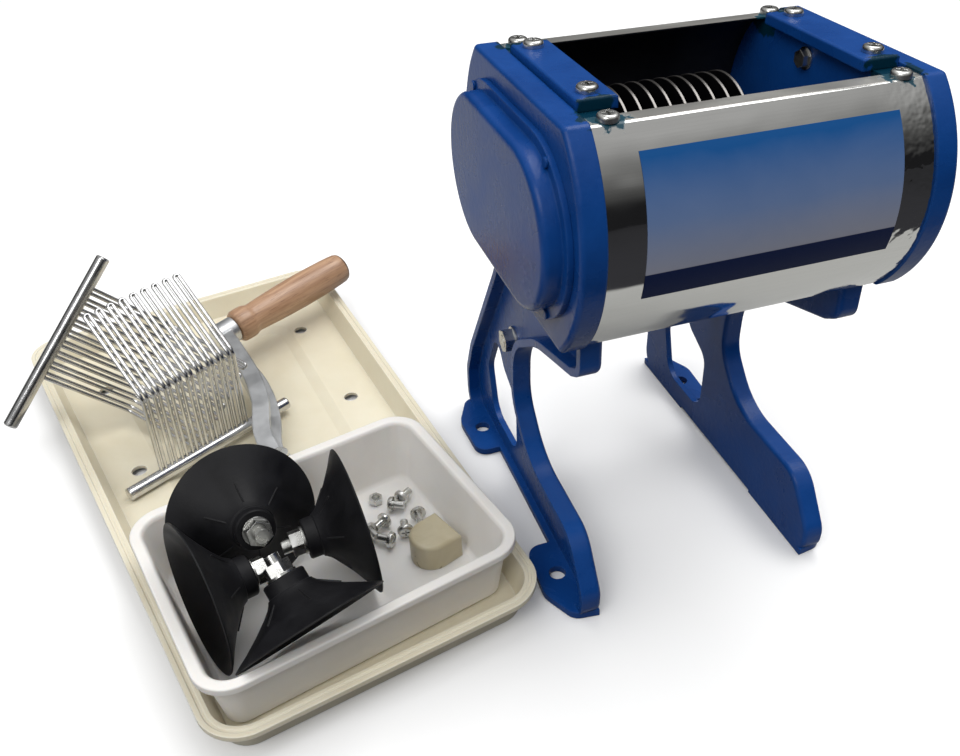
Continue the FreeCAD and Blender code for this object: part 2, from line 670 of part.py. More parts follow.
# --------------------------------------------------------------------- legs
def leg_corners():
    """The leg's side outline (Y from the body's middle, Z, radius)."""
    toe, heel = -V.leg_toe, V.leg_heel
    top = V.body_bottom + V.shroud_drop - 0.2
    arch_tip = -51.0
    outline = [
        (toe, 0.0, 12.0), (heel, 0.0, 16.0), (heel - 1, 34.0, 24.0), (heel - 14, 62.0, 30.0),
        (84.0, 150.0, 40.0), (62.0, top, 3.0), (arch_tip, top, 3.0), (arch_tip, 165.0, 9.0),
        (-40.0, 158.5, 9.0), (10.0, 144.0, 60.0), (49.0, 118.0, 32.0), (50.0, 80.0, 26.0),
        (24.0, 51.0, 44.0), (-42.0, 50.0, 22.0), (toe - 1, 20.0, 14.0),
    ]
    return [(BODY_Y + y, z, r) for y, z, r in outline]


def leg_window():
    """The opening between the strut and the back of the leg."""
    window = [(69.0, 17.0, 13.0), (117.0, 17.0, 15.0), (127.0, 52.0, 14.0), (106.0, 90.0, 9.0),
              (92.0, 72.0, 12.0), (69.0, 61.0, 12.0)]
    return [(BODY_Y + y, z, r) for y, z, r in window]


def ear_corners(hole_y, end_y):
    """Plan of one foot ear: it tapers towards the toe or the heel."""
    inner = V.leg_inner
    outer = inner + V.ear_reach
    way = 1 if end_y > hole_y else -1
    near = hole_y - way * V.ear_length
    nose = hole_y + way * V.ear_nose
    foot = inner + V.leg_width
    corners = [(inner, near, 0), (foot - V.foot_trim, near, 0), (outer - 2, near, V.ear_heel_round),
               (outer, nose, V.ear_nose_round), (foot + 3, end_y - way * 3, V.ear_heel_round),
               (inner, end_y - way * 1, 0)]
    return corners if way > 0 else corners[::-1]


def right_leg():
    """Cast leg: a thin web with a flange all round, a foot and two ears."""
    body = doc.addObject("PartDesign::Body", "leg_body")
    outline = leg_corners()
    full = body_sketch(body, "leg_outline", "YZ_Plane", rounded(outline), "Sizes.leg_inner")
    pad(body, full, "Sizes.leg_width")
    recess = body_sketch(body, "leg_recess", "YZ_Plane", rounded(inset(outline, V.leg_rim)),
                         "Sizes.leg_inner + Sizes.leg_width")
    pocket(body, recess, "Sizes.leg_width - Sizes.leg_web")
    window = body_sketch(body, "leg_window", "YZ_Plane", rounded(leg_window()),
                         "Sizes.leg_inner + Sizes.leg_width")
    opened = pocket(body, window, "Sizes.leg_width")
    doc.recompute()
    inner = [face for face in opened.Shape.Faces if abs(face.CenterOfMass.x - V.leg_inner) < 0.01][0]
    border = ["Edge%d" % (i + 1) for i, edge in enumerate(opened.Shape.Edges)
              if any(edge.isSame(other) for other in inner.OuterWire.Edges)
              and edge.BoundBox.ZMin > 1.0 and edge.BoundBox.ZMax < V.body_bottom - 1]
    fillet = body.newObject("PartDesign::Fillet", "leg_edge")
    fillet.Base = (opened, border)
    fillet.setExpression("Radius", "Sizes.leg_round")
    body.Tip = fillet
    ears = []
    reaches = ((-V.foot_hole_y, BODY_Y - V.leg_toe), (V.foot_hole_y, BODY_Y + V.leg_heel))
    for i, (hole_y, end_y) in enumerate(reaches):
        wedge = prism(rounded(ear_corners(hole_y, end_y)), Vector(0, 0, V.leg_rim))
        ears.append(feature("leg_ear_%d" % i, wedge))
    trim = cuboid("leg_trim",
                  ("Sizes.foot_trim + 2", "2 * (Sizes.foot_hole_y - Sizes.ear_length)", "Sizes.leg_rim + 4"),
                  ("Sizes.leg_inner + Sizes.leg_width - Sizes.foot_trim",
                   "Sizes.ear_length - Sizes.foot_hole_y", "-2"))
    pad_top = cuboid("leg_seat", ("Sizes.leg_width", "2 * Sizes.bar_half + 10", "Sizes.shroud_sheet + 2"),
                     ("Sizes.leg_inner", "Sizes.body_centre_y - Sizes.bar_half - 5",
                      "Sizes.body_bottom + Sizes.shroud_drop - 2"))
    casting = cut("leg_trimmed", body, trim)
    whole = fuse("leg_fused", casting, pad_top, *ears)
    holes = []
    for i, sign in enumerate(("", "-")):
        holes.append(cylinder("leg_foot_hole_%d" % i, "Sizes.foot_hole_radius", "Sizes.leg_rim + 4",
                              ("Sizes.foot_hole_x", sign + "Sizes.foot_hole_y", "-2")))
    for i, sign in enumerate("+-"):
        holes.append(cylinder("leg_bolt_hole_%d" % i, "Sizes.screw_radius", "20",
                              ("Sizes.leg_bolt_x", "Sizes.body_centre_y %s Sizes.leg_bolt_half" % sign,
                               "Sizes.body_bottom - 12")))
    holes.append(cylinder("leg_stay_hole", "Sizes.stay_radius", "Sizes.leg_width",
                          ("Sizes.leg_inner - 2", "Sizes.body_centre_y + Sizes.stay_y", "Sizes.stay_z"),
                          X_AXIS))
    keep(cut("right_leg_part", whole, *holes), "right_leg")
    keep(mirror_x("left_leg_part", NODES[-1]), "left_leg")


def leg_bolts():
    """Bolts from below through the legs' top flanges into the castings."""
    seat = V.body_bottom + V.shroud_drop - 0.2 - V.leg_rim
    head = cylinder("leg_bolt_head", "Sizes.leg_bolt_head", "3.5", ("0", "0", "-3.5"))
    shank = cylinder("leg_bolt_shank", "Sizes.screw_radius", "Sizes.leg_rim + Sizes.leg_bolt_length",
                     ("0", "0", "0"))
    bolt = fuse("leg_bolt", head, shank)
    spots = [Placement(Vector(x, BODY_Y + side * V.leg_bolt_half, seat), Rotation())
             for x in (V.leg_bolt_x, -V.leg_bolt_x) for side in (1, -1)]
    keep(group("leg_bolt_group", bolt, spots), "leg_bolts")


def stay_rod():
    """Stay between the legs, with a spacer tube and a nut at each end."""
    where_y, where_z = "Sizes.body_centre_y + Sizes.stay_y", "Sizes.stay_z"
    reach = "Sizes.leg_inner + Sizes.leg_web + Sizes.stay_nut_height + 1.6"
    rod = cylinder("stay_core", "Sizes.stay_radius", "2 * (%s)" % reach,
                   ("-(%s)" % reach, where_y, where_z), X_AXIS)
    sleeve = cylinder("stay_sleeve", "Sizes.stay_radius + 2.5", "2 * Sizes.leg_inner",
                      ("-Sizes.leg_inner", where_y, where_z), X_AXIS)
    keep(fuse("stay_part", rod, sleeve), "stay_rod")
    washer_out = cylinder("stay_washer", "Sizes.stay_nut_across / 2 + 1.5", "1.4",
                          ("Sizes.leg_inner + Sizes.leg_web", where_y, where_z), X_AXIS)
    nut = hexagon("stay_hexagon", "Sizes.stay_nut_across", "Sizes.stay_nut_height",
                  ("Sizes.leg_inner + Sizes.leg_web + 1.4", where_y, where_z), X_AXIS)
    bore = cylinder("stay_nut_bore", "Sizes.stay_radius", "30",
                    ("Sizes.leg_inner", where_y, where_z), X_AXIS)
    one = cut("stay_nut_right", fuse("stay_nut_blank", washer_out, nut), bore)
    other = mirror_x("stay_nut_left", one)
    pair = doc.addObject("Part::Compound", "stay_nut_pair")
    pair.Links = [one, other]
    keep(pair, "stay_nuts")


# ------------------------------------------------------------------- arbors
def bushes():
    """Four bronze bushes pressed into the castings from inside."""
    outer = cylinder("bush_outer", "Sizes.bush_radius", "Sizes.bush_length", ("0", "0", "0"), X_AXIS)
    bore = cylinder("bush_bore", "Sizes.journal_radius + Sizes.running_gap", "Sizes.bush_length + 4",
                    ("-2", "0", "0"), X_AXIS)
    bush = cut("bush", outer, bore)
    spots = []
    for y in (BACK_Y, FRONT_Y):
        spots.append(Placement(Vector(CASTING_IN, y, V.arbor_height), Rotation()))
        spots.append(Placement(Vector(-CASTING_IN - V.bush_length, y, V.arbor_height), Rotation()))
    keep(group("bush_group", bush, spots), "arbor_bushes")


def arbor_shaft(name, where, right_end, label, crank_seat):
    """Hexagon shaft with two journals; the driving one ends in a crank seat."""
    height = "Sizes.arbor_height"
    half = "(%s - Sizes.end_float)" % X_IN
    core = hexagon(name + "_hexagon", "Sizes.shaft_across", "2 * " + half,
                   ("-" + half, where, height), X_AXIS)
    left_end = "(Sizes.body_width / 2 + Sizes.lip_thickness + 3)"
    journal = cylinder(name + "_journal", "Sizes.journal_radius", "%s + %s" % (left_end, right_end),
                       ("-" + left_end, where, height), X_AXIS)
    pieces = [core, journal]
    if crank_seat:
        seat = cylinder(name + "_seat", "Sizes.seat_radius", "Sizes.seat_length",
                        (right_end, where, height), X_AXIS)
        flat = cuboid(name + "_flat",
                      ("Sizes.seat_flat_length", "2 * Sizes.seat_radius", "Sizes.seat_radius"),
                      (right_end + " + Sizes.seat_flat_start", where + " - Sizes.seat_radius",
                       height + " + Sizes.seat_flat"))
        pieces.append(cut(name + "_seat_cut", seat, flat))
    keep(fuse(name + "_part", *pieces), label)


def blade_template():
    """Round knife with a square rim, its edges broken by a small bevel."""
    half = V.blade_thickness / 2
    edge = V.blade_radius - V.blade_bevel
    rim = half - V.blade_bevel
    profile = [Vector(0, 0, -half), Vector(edge, 0, -half), Vector(V.blade_radius, 0, -rim),
               Vector(V.blade_radius, 0, rim), Vector(edge, 0, half), Vector(0, 0, half)]
    wire = Part.makePolygon(profile + profile[:1])
    disc = Part.Face(wire).revolve(Vector(0, 0, 0), Vector(0, 0, 1), 360)
    return feature("blade_disc", disc)


def knives(name, where, count, label):
    """One arbor's knives, evenly spaced about the middle."""
    blank = doc.getObject("blade_disc") or blade_template()
    bore = hexagon(name + "_bore", "Sizes.shaft_across", "Sizes.blade_thickness + 4",
                   ("0", "0", "-2 - Sizes.blade_thickness / 2"))
    knife = cut(name + "_knife", blank, bore)
    first = V.blade_shift - (count - 1) / 2 * V.blade_pitch
    spots = [Placement(Vector(first + i * V.blade_pitch, where, V.arbor_height), X_AXIS)
             for i in range(count)]
    keep(group(name + "_group", knife, spots), label)


def spacers(name, where, count, label):
    """Tubes that hold the knives apart, and two long ones at the ends."""
    half_shaft = CASTING_IN - V.end_float
    gap = V.blade_pitch - V.blade_thickness
    edge = ((count - 1) * V.blade_pitch + V.blade_thickness) / 2
    stretches = [(-half_shaft, V.blade_shift - edge), (V.blade_shift + edge, half_shaft)]
    first = V.blade_shift - edge + V.blade_thickness
    stretches += [(first + i * V.blade_pitch, first + i * V.blade_pitch + gap) for i in range(count - 1)]
    tubes = []
    flat = V.shaft_across / 2 / math.cos(math.radians(30))
    for start, end in stretches:
        tube = Part.makeCylinder(V.spacer_radius, end - start, Vector(start, 0, 0), Vector(1, 0, 0))
        angles = [math.radians(60 * k) for k in range(6)]
        corners = [Vector(start, flat * math.sin(angle), -flat * math.cos(angle)) for angle in angles]
        core = Part.Face(Part.makePolygon(corners + corners[:1])).extrude(Vector(end - start, 0, 0))
        tubes.append(tube.cut(core))
    axis = Placement(Vector(0, where, V.arbor_height), Rotation())
    keep(feature(name + "_group", Part.makeCompound(tubes), axis), label)


def tooth_outline(teeth):
    """One involute tooth's half profile as (radius, angle from its middle)."""
    pressure = math.radians(20)
    pitch_radius = V.gear_module * teeth / 2
    base = pitch_radius * math.cos(pressure)
    tip = pitch_radius + V.gear_module * 0.94
    root = pitch_radius - V.gear_module * 1.25
    half_angle = math.pi / (2 * teeth) - V.gear_backlash / 2 / pitch_radius + math.tan(pressure) - pressure
    flank = []
    steps = 5
    for i in range(steps + 1):
        radius = base + (tip - base) * i / steps
        roll = math.sqrt(max((radius / base) ** 2 - 1, 0))
        flank.append((radius, half_angle - (roll - math.atan(roll))))
    return root, flank


def gear(name, where, turn, label):
    """Spur gear on the left end of an arbor."""
    teeth = int(round(V.arbor_spacing / V.gear_module))
    root, flank = tooth_outline(teeth)
    points = []
    for k in range(teeth):
        middle = 2 * math.pi * k / teeth + math.radians(turn)
        side = [(root, flank[0][1])] + flank
        for radius, angle in side:
            points.append(Vector(0, radius * math.cos(middle - angle), radius * math.sin(middle - angle)))
        for radius, angle in reversed(side):
            points.append(Vector(0, radius * math.cos(middle + angle), radius * math.sin(middle + angle)))
    blank = Part.Face(Part.makePolygon(points + points[:1])).extrude(Vector(V.gear_width, 0, 0))
    bore = Part.makeCylinder(V.journal_radius, V.gear_width, Vector(0, 0, 0), Vector(1, 0, 0))
    x = -(HALF_WIDTH + 1.0 + V.gear_width)
    spot = Placement(Vector(x, where, V.arbor_height), Rotation())
    keep(feature(name + "_part", blank.cut(bore), spot), label)


def shaft_nut(name, where, label):
    """Nut that holds the gear against the bush."""
    start = "-(Sizes.body_width / 2 + 1 + Sizes.gear_width + Sizes.nut_height)"
    blank = hexagon(name + "_hexagon", "Sizes.nut_across", "Sizes.nut_height",
                    (start, where, "Sizes.arbor_height"), X_AXIS)
    bore = cylinder(name + "_bore", "Sizes.journal_radius", "Sizes.nut_height + 4",
                    (start + " - 2", where, "Sizes.arbor_height"), X_AXIS)
    keep(cut(name + "_part", blank, bore), label)


def comb_bolts():
    """Bolt heads inside the hopper, on which the combs' rods are fixed."""
    head = hexagon("comb_bolt_head", "Sizes.comb_bolt_across", "3.2", ("0", "0", "0"), X_AXIS)
    washer = cylinder("comb_bolt_washer", "Sizes.comb_bolt_across / 2 + 1.6", "1", ("0", "0", "0"), X_AXIS)
    bolt = fuse("comb_bolt", place(head, ("-4.2", "0", "0"), X_AXIS), place(washer, ("-1", "0", "0"), X_AXIS))
    spots = []
    upper = (V.comb_bolt_half, V.body_top - V.comb_bolt_drop)
    lower = (-V.comb_bolt_half, V.body_bottom + V.comb_bolt_rise)
    for side in (1, -1):
        turn = Rotation() if side > 0 else Rotation(Vector(0, 0, 1), 180)
        for offset, height in (upper, lower):
            spots.append(Placement(Vector(side * CASTING_IN, BODY_Y + offset, height), turn))
    keep(group("comb_bolt_group", bolt, spots), "comb_bolts")


# --------------------------------------------------------------------- tray
def tray_frame():
    return Placement(Vector(V.tray_x, V.tray_y, 0), Rotation(Vector(0, 0, 1), V.tray_angle))


def tray_corners(distance):
    """Plan of the tray, in its own frame, moved inwards by a distance."""
    half = V.tray_length / 2
    corners = [(-V.tray_front / 2, -half, V.tray_corner), (V.tray_front / 2, -half, V.tray_corner),
               (V.tray_back / 2, half, V.tray_corner), (-V.tray_back / 2, half, V.tray_corner)]
    return inset(corners, distance) if distance else corners


def tray_holes():
    """Hole centres in the tray's ledge, in its own frame."""
    rows = (V.tray_row - 2 * V.foot_hole_y, V.tray_row, V.tray_far_row)
    return [(x, y) for y in rows for x in (V.tray_hole_x, -V.tray_hole_x)]


def tray_panel(margin):
    """Plan of the sunk panel, made larger by a margin; it tapers with the tray."""
    return [(x, y, V.tray_panel_corner) for x, y, _ in tray_corners(V.tray_margin - margin)]


def tray():
    """Moulded tray: rim, sloping wall, ledge with holes and a sunk panel."""
    def slab(distance, low, high):
        shape = prism(rounded(tray_corners(distance)), Vector(0, 0, high - low))
        return shape.translate(Vector(0, 0, low))

    def between(plans, low, high):
        wires = [Part.Wire(Part.__sortEdges__([g.toShape() for g in rounded(plan)])) for plan in plans]
        wires[0].translate(Vector(0, 0, low))
        wires[1].translate(Vector(0, 0, high))
        return Part.makeLoft(wires, True, True)

    def tapered(distance_low, distance_high, low, high):
        return between((tray_corners(distance_low), tray_corners(distance_high)), low, high)

    wall = V.tray_wall
    lean = V.tray_lip + 5.0
    foot = lean + wall
    shell = tapered(lean, V.tray_lip, 0, V.tray_height - 2)
    rim = slab(0, V.tray_height - 3.4, V.tray_height)
    solid = shell.fuse(rim)
    solid = solid.cut(tapered(foot, V.tray_lip + wall, V.tray_ledge, V.tray_height + 1e-3))
    panel = between((tray_panel(-V.tray_slope), tray_panel(V.tray_slope)), wall, V.tray_ledge)
    under = prism(rounded(tray_panel(wall)), Vector(0, 0, V.tray_ledge + 2)).translate(Vector(0, 0, -2))
    solid = solid.cut(panel)
    solid = solid.cut(slab(foot, -1, V.tray_ledge - wall).cut(under))
    for x, y in tray_holes():
        solid = solid.cut(Part.makeCylinder(V.tray_hole_radius, 20, Vector(x, y, -2)))
    keep(feature("tray_part", solid.removeSplitter(), tray_frame()), "tray")


# ---------------------------------------------------------------- catch box
def box_frame():
    return Placement(Vector(V.box_x, V.box_y, V.tray_ledge + V.laid_gap),
                     Rotation(Vector(0, 0, 1), V.box_angle))


def box_corners(distance):
    half_x, half_y = V.box_length / 2, V.box_depth / 2
    corners = [(-half_x, -half_y, V.box_corner), (half_x, -half_y, V.box_corner),
               (half_x, half_y, V.box_corner), (-half_x, half_y, V.box_corner)]
    return inset(corners, distance) if distance else corners


def catch_box():
    """Thin walled box with leaning walls and a rolled rim."""
    def loft(low_distance, high_distance, low, high):
        wires = []
        for distance, height in ((low_distance, low), (high_distance, high)):
            wire = Part.Wire(Part.__sortEdges__([g.toShape() for g in rounded(box_corners(distance))]))
            wire.translate(Vector(0, 0, height))
            wires.append(wire)
        return Part.makeLoft(wires, True, True)

    rim, wall, top = V.box_rim, V.box_wall, V.box_height
    outside = loft(rim + V.box_draft, rim, 0, top)
    band = loft(0, 0, top - V.box_rim_height, top)
    inside = loft(rim + V.box_draft + wall, rim + wall, wall, top + 1e-3)
    solid = outside.fuse(band).cut(inside).removeSplitter()
    edges = [edge for edge in solid.Edges if edge.BoundBox.ZMin > top - 0.01]
    solid = solid.makeFillet(0.9, edges)
    keep(feature("catch_box_part", solid, box_frame()), "catch_box")


# ------------------------------------------------------------- suction feet
# centre of each cup's rim plane in the box's frame (x, y, z above the box
# floor's underside), then the direction of its stud: turn and tilt, degrees
CUP_POSES = (
    ((-32.5, 38.0, 42.5), -90.0, 24.0),
    ((-74.5, -10.0, 46.1), 4.0, -3.0),
    ((-30.0, -53.2, 36.8), 98.0, 37.0),
    ((19.3, -4.8, 46.1), 172.2, -3.0),
)


def cup_frames():
    frames = []
    for centre, turn, tilt in CUP_POSES:
        direction = Rotation(Vector(0, 0, 1), turn).multiply(Rotation(Vector(0, 1, 0), 90 - tilt))
        frames.append(box_frame().multiply(Placement(Vector(*centre), direction)))
    return frames


def suction_cups():
    """Rubber cups with a steel stud, washer and nut, laid in the box."""
    outer = [(V.cup_radius, 0), (V.cup_radius, V.cup_wall * 0.5), (V.cup_hub + 1.5, V.cup_shoulder),
             (V.cup_hub, V.cup_shoulder + 1.5), (V.cup_hub, V.cup_height)]
    inner = [(0, V.cup_height), (0, V.cup_shoulder - 5), (V.cup_crown, V.cup_shoulder - 5.5),
             (V.cup_radius - V.cup_wall, 0)]
    ring = [Vector(r, 0, z) for r, z in outer + inner]
    solid = Part.Face(Part.makePolygon(ring + ring[:1])).revolve(Vector(0, 0, 0), Vector(0, 0, 1), 360)
    socket = Part.makeCylinder(V.stud_radius, V.stud_root, Vector(0, 0, V.cup_height - V.stud_root))
    rubber = feature("cup_rubber", solid.cut(socket))
    stud = cylinder("cup_stud", "Sizes.stud_radius", "Sizes.stud_length + Sizes.stud_root",
                    ("0", "0", "Sizes.cup_height - Sizes.stud_root"))
    washer = cylinder("cup_washer", "Sizes.washer_radius", "Sizes.washer_thickness",
                      ("0", "0", "Sizes.cup_height"))
    nut = hexagon("cup_hexagon", "Sizes.cup_nut_across", "Sizes.cup_nut_height",
                  ("0", "0", "Sizes.cup_height + Sizes.washer_thickness"))
    bore = cylinder("cup_bore", "Sizes.stud_radius", "30", ("0", "0", "Sizes.cup_height - 2"))
    nut_part = cut("cup_nut", fuse("cup_nut_blank", nut, washer), bore)
    frames = cup_frames()
    for i, spot in enumerate(frames, start=1):
        keep(group("cup_%d_part" % i, rubber, [spot]), "suction_cup_%d" % i)
    keep(group("cup_stud_group", stud, frames), "cup_studs")
    keep(group("cup_nut_group", nut_part, frames), "cup_nuts")


# -------------------------------------------------------------- loose pieces
# loose screws on the box floor: (x, y, turn) in the box's frame
LOOSE_SCREWS = (
    (46.0, 23.0, 20.0), (58.0, 33.0, 140.0), (67.0, 16.0, 75.0), (54.0, 9.0, 250.0),
    (42.0, 7.0, 310.0), (36.0, 20.0, 95.0), (66.0, 36.0, 200.0),
)


def loose_screws():
    """Spare screws lying on their sides on the floor of the box."""
    screw = pan_screw("spare_screw", "7")
    floor = V.box_wall + V.laid_gap + V.screw_head
    spots = []
    for x, y, turn in LOOSE_SCREWS:
        flat = Rotation(Vector(0, 0, 1), turn).multiply(Rotation(Vector(0, 1, 0), 90))
        spots.append(box_frame().multiply(Placement(Vector(x, y, floor), flat)))
    keep(group("spare_screw_group", screw, spots), "spare_screws")
    blank = hexagon("spare_hexagon", "8", "4", ("0", "0", "0"))
    bore = cylinder("spare_bore", "Sizes.screw_radius", "8", ("0", "0", "-2"))
    nut = cut("spare_nut", blank, bore)
    spots = [box_frame().multiply(Placement(Vector(x, y, V.box_wall + V.laid_gap), Rotation()))
             for x, y in ((30.0, 33.0), (52.0, 46.0))]
    keep(group("spare_nut_group", nut, spots), "spare_nuts")


def shaft_cap():
    """Moulded half-round cap, open below and at its flat end."""
    def shell(distance, low):
        radius, length = V.cap_radius - distance, V.cap_length - V.cap_radius
        end = length - distance
        edges = [Part.Arc(Vector(0, radius, 0), Vector(-radius, 0, 0), Vector(0, -radius, 0)),
                 Part.LineSegment(Vector(0, -radius, 0), Vector(end, -radius, 0)),
                 Part.LineSegment(Vector(end, -radius, 0), Vector(end, radius, 0)),
                 Part.LineSegment(Vector(end, radius, 0), Vector(0, radius, 0))]
        return prism(edges, Vector(0, 0, V.cap_height - distance - low)).translate(Vector(0, 0, low))

    solid = shell(0, 0)
    top = [edge for edge in solid.Edges if edge.BoundBox.ZMin > V.cap_height - 0.01]
    solid = solid.makeFillet(2.5, top).cut(shell(V.cap_wall, -1))
    spot = box_frame().multiply(Placement(Vector(60.0, -14.0, V.box_wall + V.laid_gap),
                                          Rotation(Vector(0, 0, 1), 8)))
    keep(feature("shaft_cap_part", solid, spot), "shaft_cap")


# -------------------------------------------------------------------- crank
def crank_frame():
    """Crank laid on its side: x runs to the hub, z along the grip."""
    grip = Rotation(Vector(0, 0, 1), V.crank_angle).multiply(Rotation(Vector(0, 1, 0), 90 - V.crank_tilt))
    spin = Rotation(Vector(0, 0, 1), -90 + V.crank_dip)
    return Placement(Vector(V.crank_x, V.crank_y, V.crank_z), grip.multiply(spin))


def arm_line():
    """Middle line of the crank arm, an S bend from the boss to the hub."""
    throw, drop = V.crank_throw, -V.crank_offset
    spine = [(0.0, -4.5), (38.0, -14.5), (74.0, -26.2), (101.0, -41.0), (119.0, -53.0),
             (throw - 14, drop + 2.0), (throw, drop)]
    line = Part.BSplineCurve()
    line.interpolate(Points=[Vector(x, 0, z) for x, z in spine],
                     InitialTangent=Vector(1, 0, -0.25), FinalTangent=Vector(1, 0, -0.1))
    return line


def arm_strip(line, low, high, span, sides):
    """Part of the arm between two offsets from its line, over a share of it."""
    whole = line.LastParameter - line.FirstParameter
    steps = 8
    rails = []
    for offset in (low, high):
        rail = []
        for i in range(steps + 1):
            along = line.FirstParameter + whole * (span[0] + (span[1] - span[0]) * i / steps)
            tangent = line.tangent(along)[0]
            reach = offset(i / steps) if callable(offset) else offset
            rail.append(line.value(along) + Vector(-tangent.z, 0, tangent.x) * reach)
        curve = Part.BSplineCurve()
        curve.interpolate(Points=rail)
        rails.append(curve)
    first, second = rails
    ends = [Part.LineSegment(first.value(first.LastParameter), second.value(second.LastParameter)),
            Part.LineSegment(second.value(second.FirstParameter), first.value(first.FirstParameter))]
    wire = Part.Wire(Part.__sortEdges__([item.toShape() for item in rails + ends]))
    return Part.Face(wire).extrude(Vector(0, sides[1] - sides[0], 0)).translate(Vector(0, sides[0], 0))


def crank_arm():
    """Cast arm with a recessed outer side, a boss for the grip and a hub."""
    half, edge = V.arm_thickness / 2, V.arm_width / 2
    throw, drop = V.crank_throw, -V.crank_offset
    line = arm_line()
    bar = arm_strip(line, -half, half, (0, 1), (-edge, edge))
    rib = arm_strip(line, 0, lambda part: half + V.arm_rib * math.sin(math.pi / 2 * min(part * 3, 1)),
                    (0.12, 1), (edge - V.arm_flange, edge))
    recess = arm_strip(line, half - V.arm_recess, half + V.arm_rib + 1, (0.2, 0.86),
                       (V.arm_flange - edge, edge - V.arm_flange))
    boss = Part.makeCylinder(edge, V.boss_front + V.boss_back, Vector(0, 0, -V.boss_back))
    hub = Part.makeCylinder(V.hub_radius, V.hub_length, Vector(throw, 0, drop + half - V.hub_length))
    solid = bar.fuse([rib]).cut(recess)
    for way in (1, -1):
        wedge = [Vector(-20, way * (edge - V.arm_taper - 1), -40), Vector(throw / 2, way * edge, -40),
                 Vector(throw / 2, way * (edge + 5), -40), Vector(-20, way * (edge + 5), -40)]
        solid = solid.cut(Part.Face(Part.makePolygon(wedge + wedge[:1])).extrude(Vector(0, 0, 60)))
    solid = solid.fuse([boss, hub])
    outer = drop + half
    inner = outer - V.hub_length
    tools = [
        Part.makeCylinder(V.spindle_radius, 60, Vector(0, 0, -30)),
        Part.makeCylinder(V.spindle_head + 1, 20, Vector(0, 0, -V.boss_back - 20)),
        Part.makeCylinder(V.seat_radius + V.hub_clearance, V.hub_length + 20, Vector(throw, 0, inner - 10)),
        Part.makeCylinder(V.hub_radius + 1, 30, Vector(throw, 0, outer)),
        Part.makeCylinder(V.hub_radius + 1, 30, Vector(throw, 0, inner - 30)),
        Part.makeCylinder(V.clamp_radius, V.hub_radius + 2, Vector(throw, 0, outer - V.clamp_inset),
                          Vector(0, -1, 0)),
    ]
    for tool in tools:
        solid = solid.cut(tool)
    keep(feature("crank_arm_part", solid.removeSplitter(), crank_frame()), "crank_arm")


def grip_start():
    return V.boss_front + V.grip_gap


def crank_small_parts():
    """Grip spindle with its collar, head and rivet, and the hub's clamp screw."""
    start = grip_start()
    head_start = start + V.grip_length - V.spindle_sink + 0.5
    spindle = Part.makeCylinder(V.spindle_radius, V.boss_back + head_start, Vector(0, 0, -V.boss_back))
    collar = Part.makeCylinder(V.spindle_radius + 4, V.grip_gap * 0.6, Vector(0, 0, V.boss_front))
    head = Part.makeCylinder(V.spindle_head, 2.5, Vector(0, 0, head_start))
    rivet = Part.makeCylinder(V.spindle_head, 2.0, Vector(0, 0, -V.boss_back - 2.0))
    solid = spindle.fuse([collar, head, rivet]).removeSplitter()
    keep(feature("crank_spindle_part", solid, crank_frame()), "crank_spindle")
    z = -V.crank_offset + V.arm_thickness / 2 - V.clamp_inset
    start = Vector(V.crank_throw, -V.seat_radius - 1.5, z)
    screw = Part.makeCylinder(V.clamp_radius, 9, start, Vector(0, -1, 0))
    seat = Vector(V.crank_throw, -V.hub_radius - 0.2, z)
    knob = Part.makeCylinder(V.clamp_radius + 2.2, 5, seat, Vector(0, -1, 0))
    keep(feature("crank_clamp_part", screw.fuse(knob).removeSplitter(), crank_frame()), "crank_clamp_screw")


def crank_grip():
    """Turned wooden grip with a neck and a collar, free on its spindle."""
    start = grip_start()
    length, full, neck = V.grip_length, V.grip_radius, V.grip_neck
    profile = [(neck, 0.0), (full - 0.5, 2.0), (full - 0.5, 13.0), (neck + 0.5, 15.5), (neck + 0.8, 19.0),
               (full - 1.0, 34.0), (full, 62.0), (full - 0.6, 90.0), (full - 1.2, length - 5.0),
               (full - 4.0, length)]
    inner = V.spindle_radius + V.running_gap
    sink, floor = V.spindle_head + 0.8, length - V.spindle_sink
    profile += [(sink, length), (sink, floor), (inner, floor), (inner, 0.0)]
    ring = [Vector(r, 0, start + z) for r, z in profile]
    solid = Part.Face(Part.makePolygon(ring + ring[:1])).revolve(Vector(0, 0, 0), Vector(0, 0, 1), 360)
    keep(feature("crank_grip_part", solid, crank_frame()), "crank_grip")


# -------------------------------------------------------------------- combs
# place of each comb: rod middle, direction of the rod (turn and rise), and
# the roll of its wires about the rod, degrees
COMB_POSES = {
    "one": ((-345.2, 170.4, 80.5), 32.1, 42.2, -110.0),
    "two": ((-262.0, 111.3, 10.6), 29.5, 0.0, 93.0),
}
COMB_SHIFT = {"one": 8.0, "two": -5.0}


def comb_frame(which):
    """x runs along the rod, z along the wires' root."""
    middle, turn, rise, roll = COMB_POSES[which]
    along = Rotation(Vector(0, 0, 1), turn).multiply(Rotation(Vector(0, 1, 0), -rise))
    spin = Rotation(Vector(1, 0, 0), roll - 90)
    return Placement(Vector(*middle), along.multiply(spin))


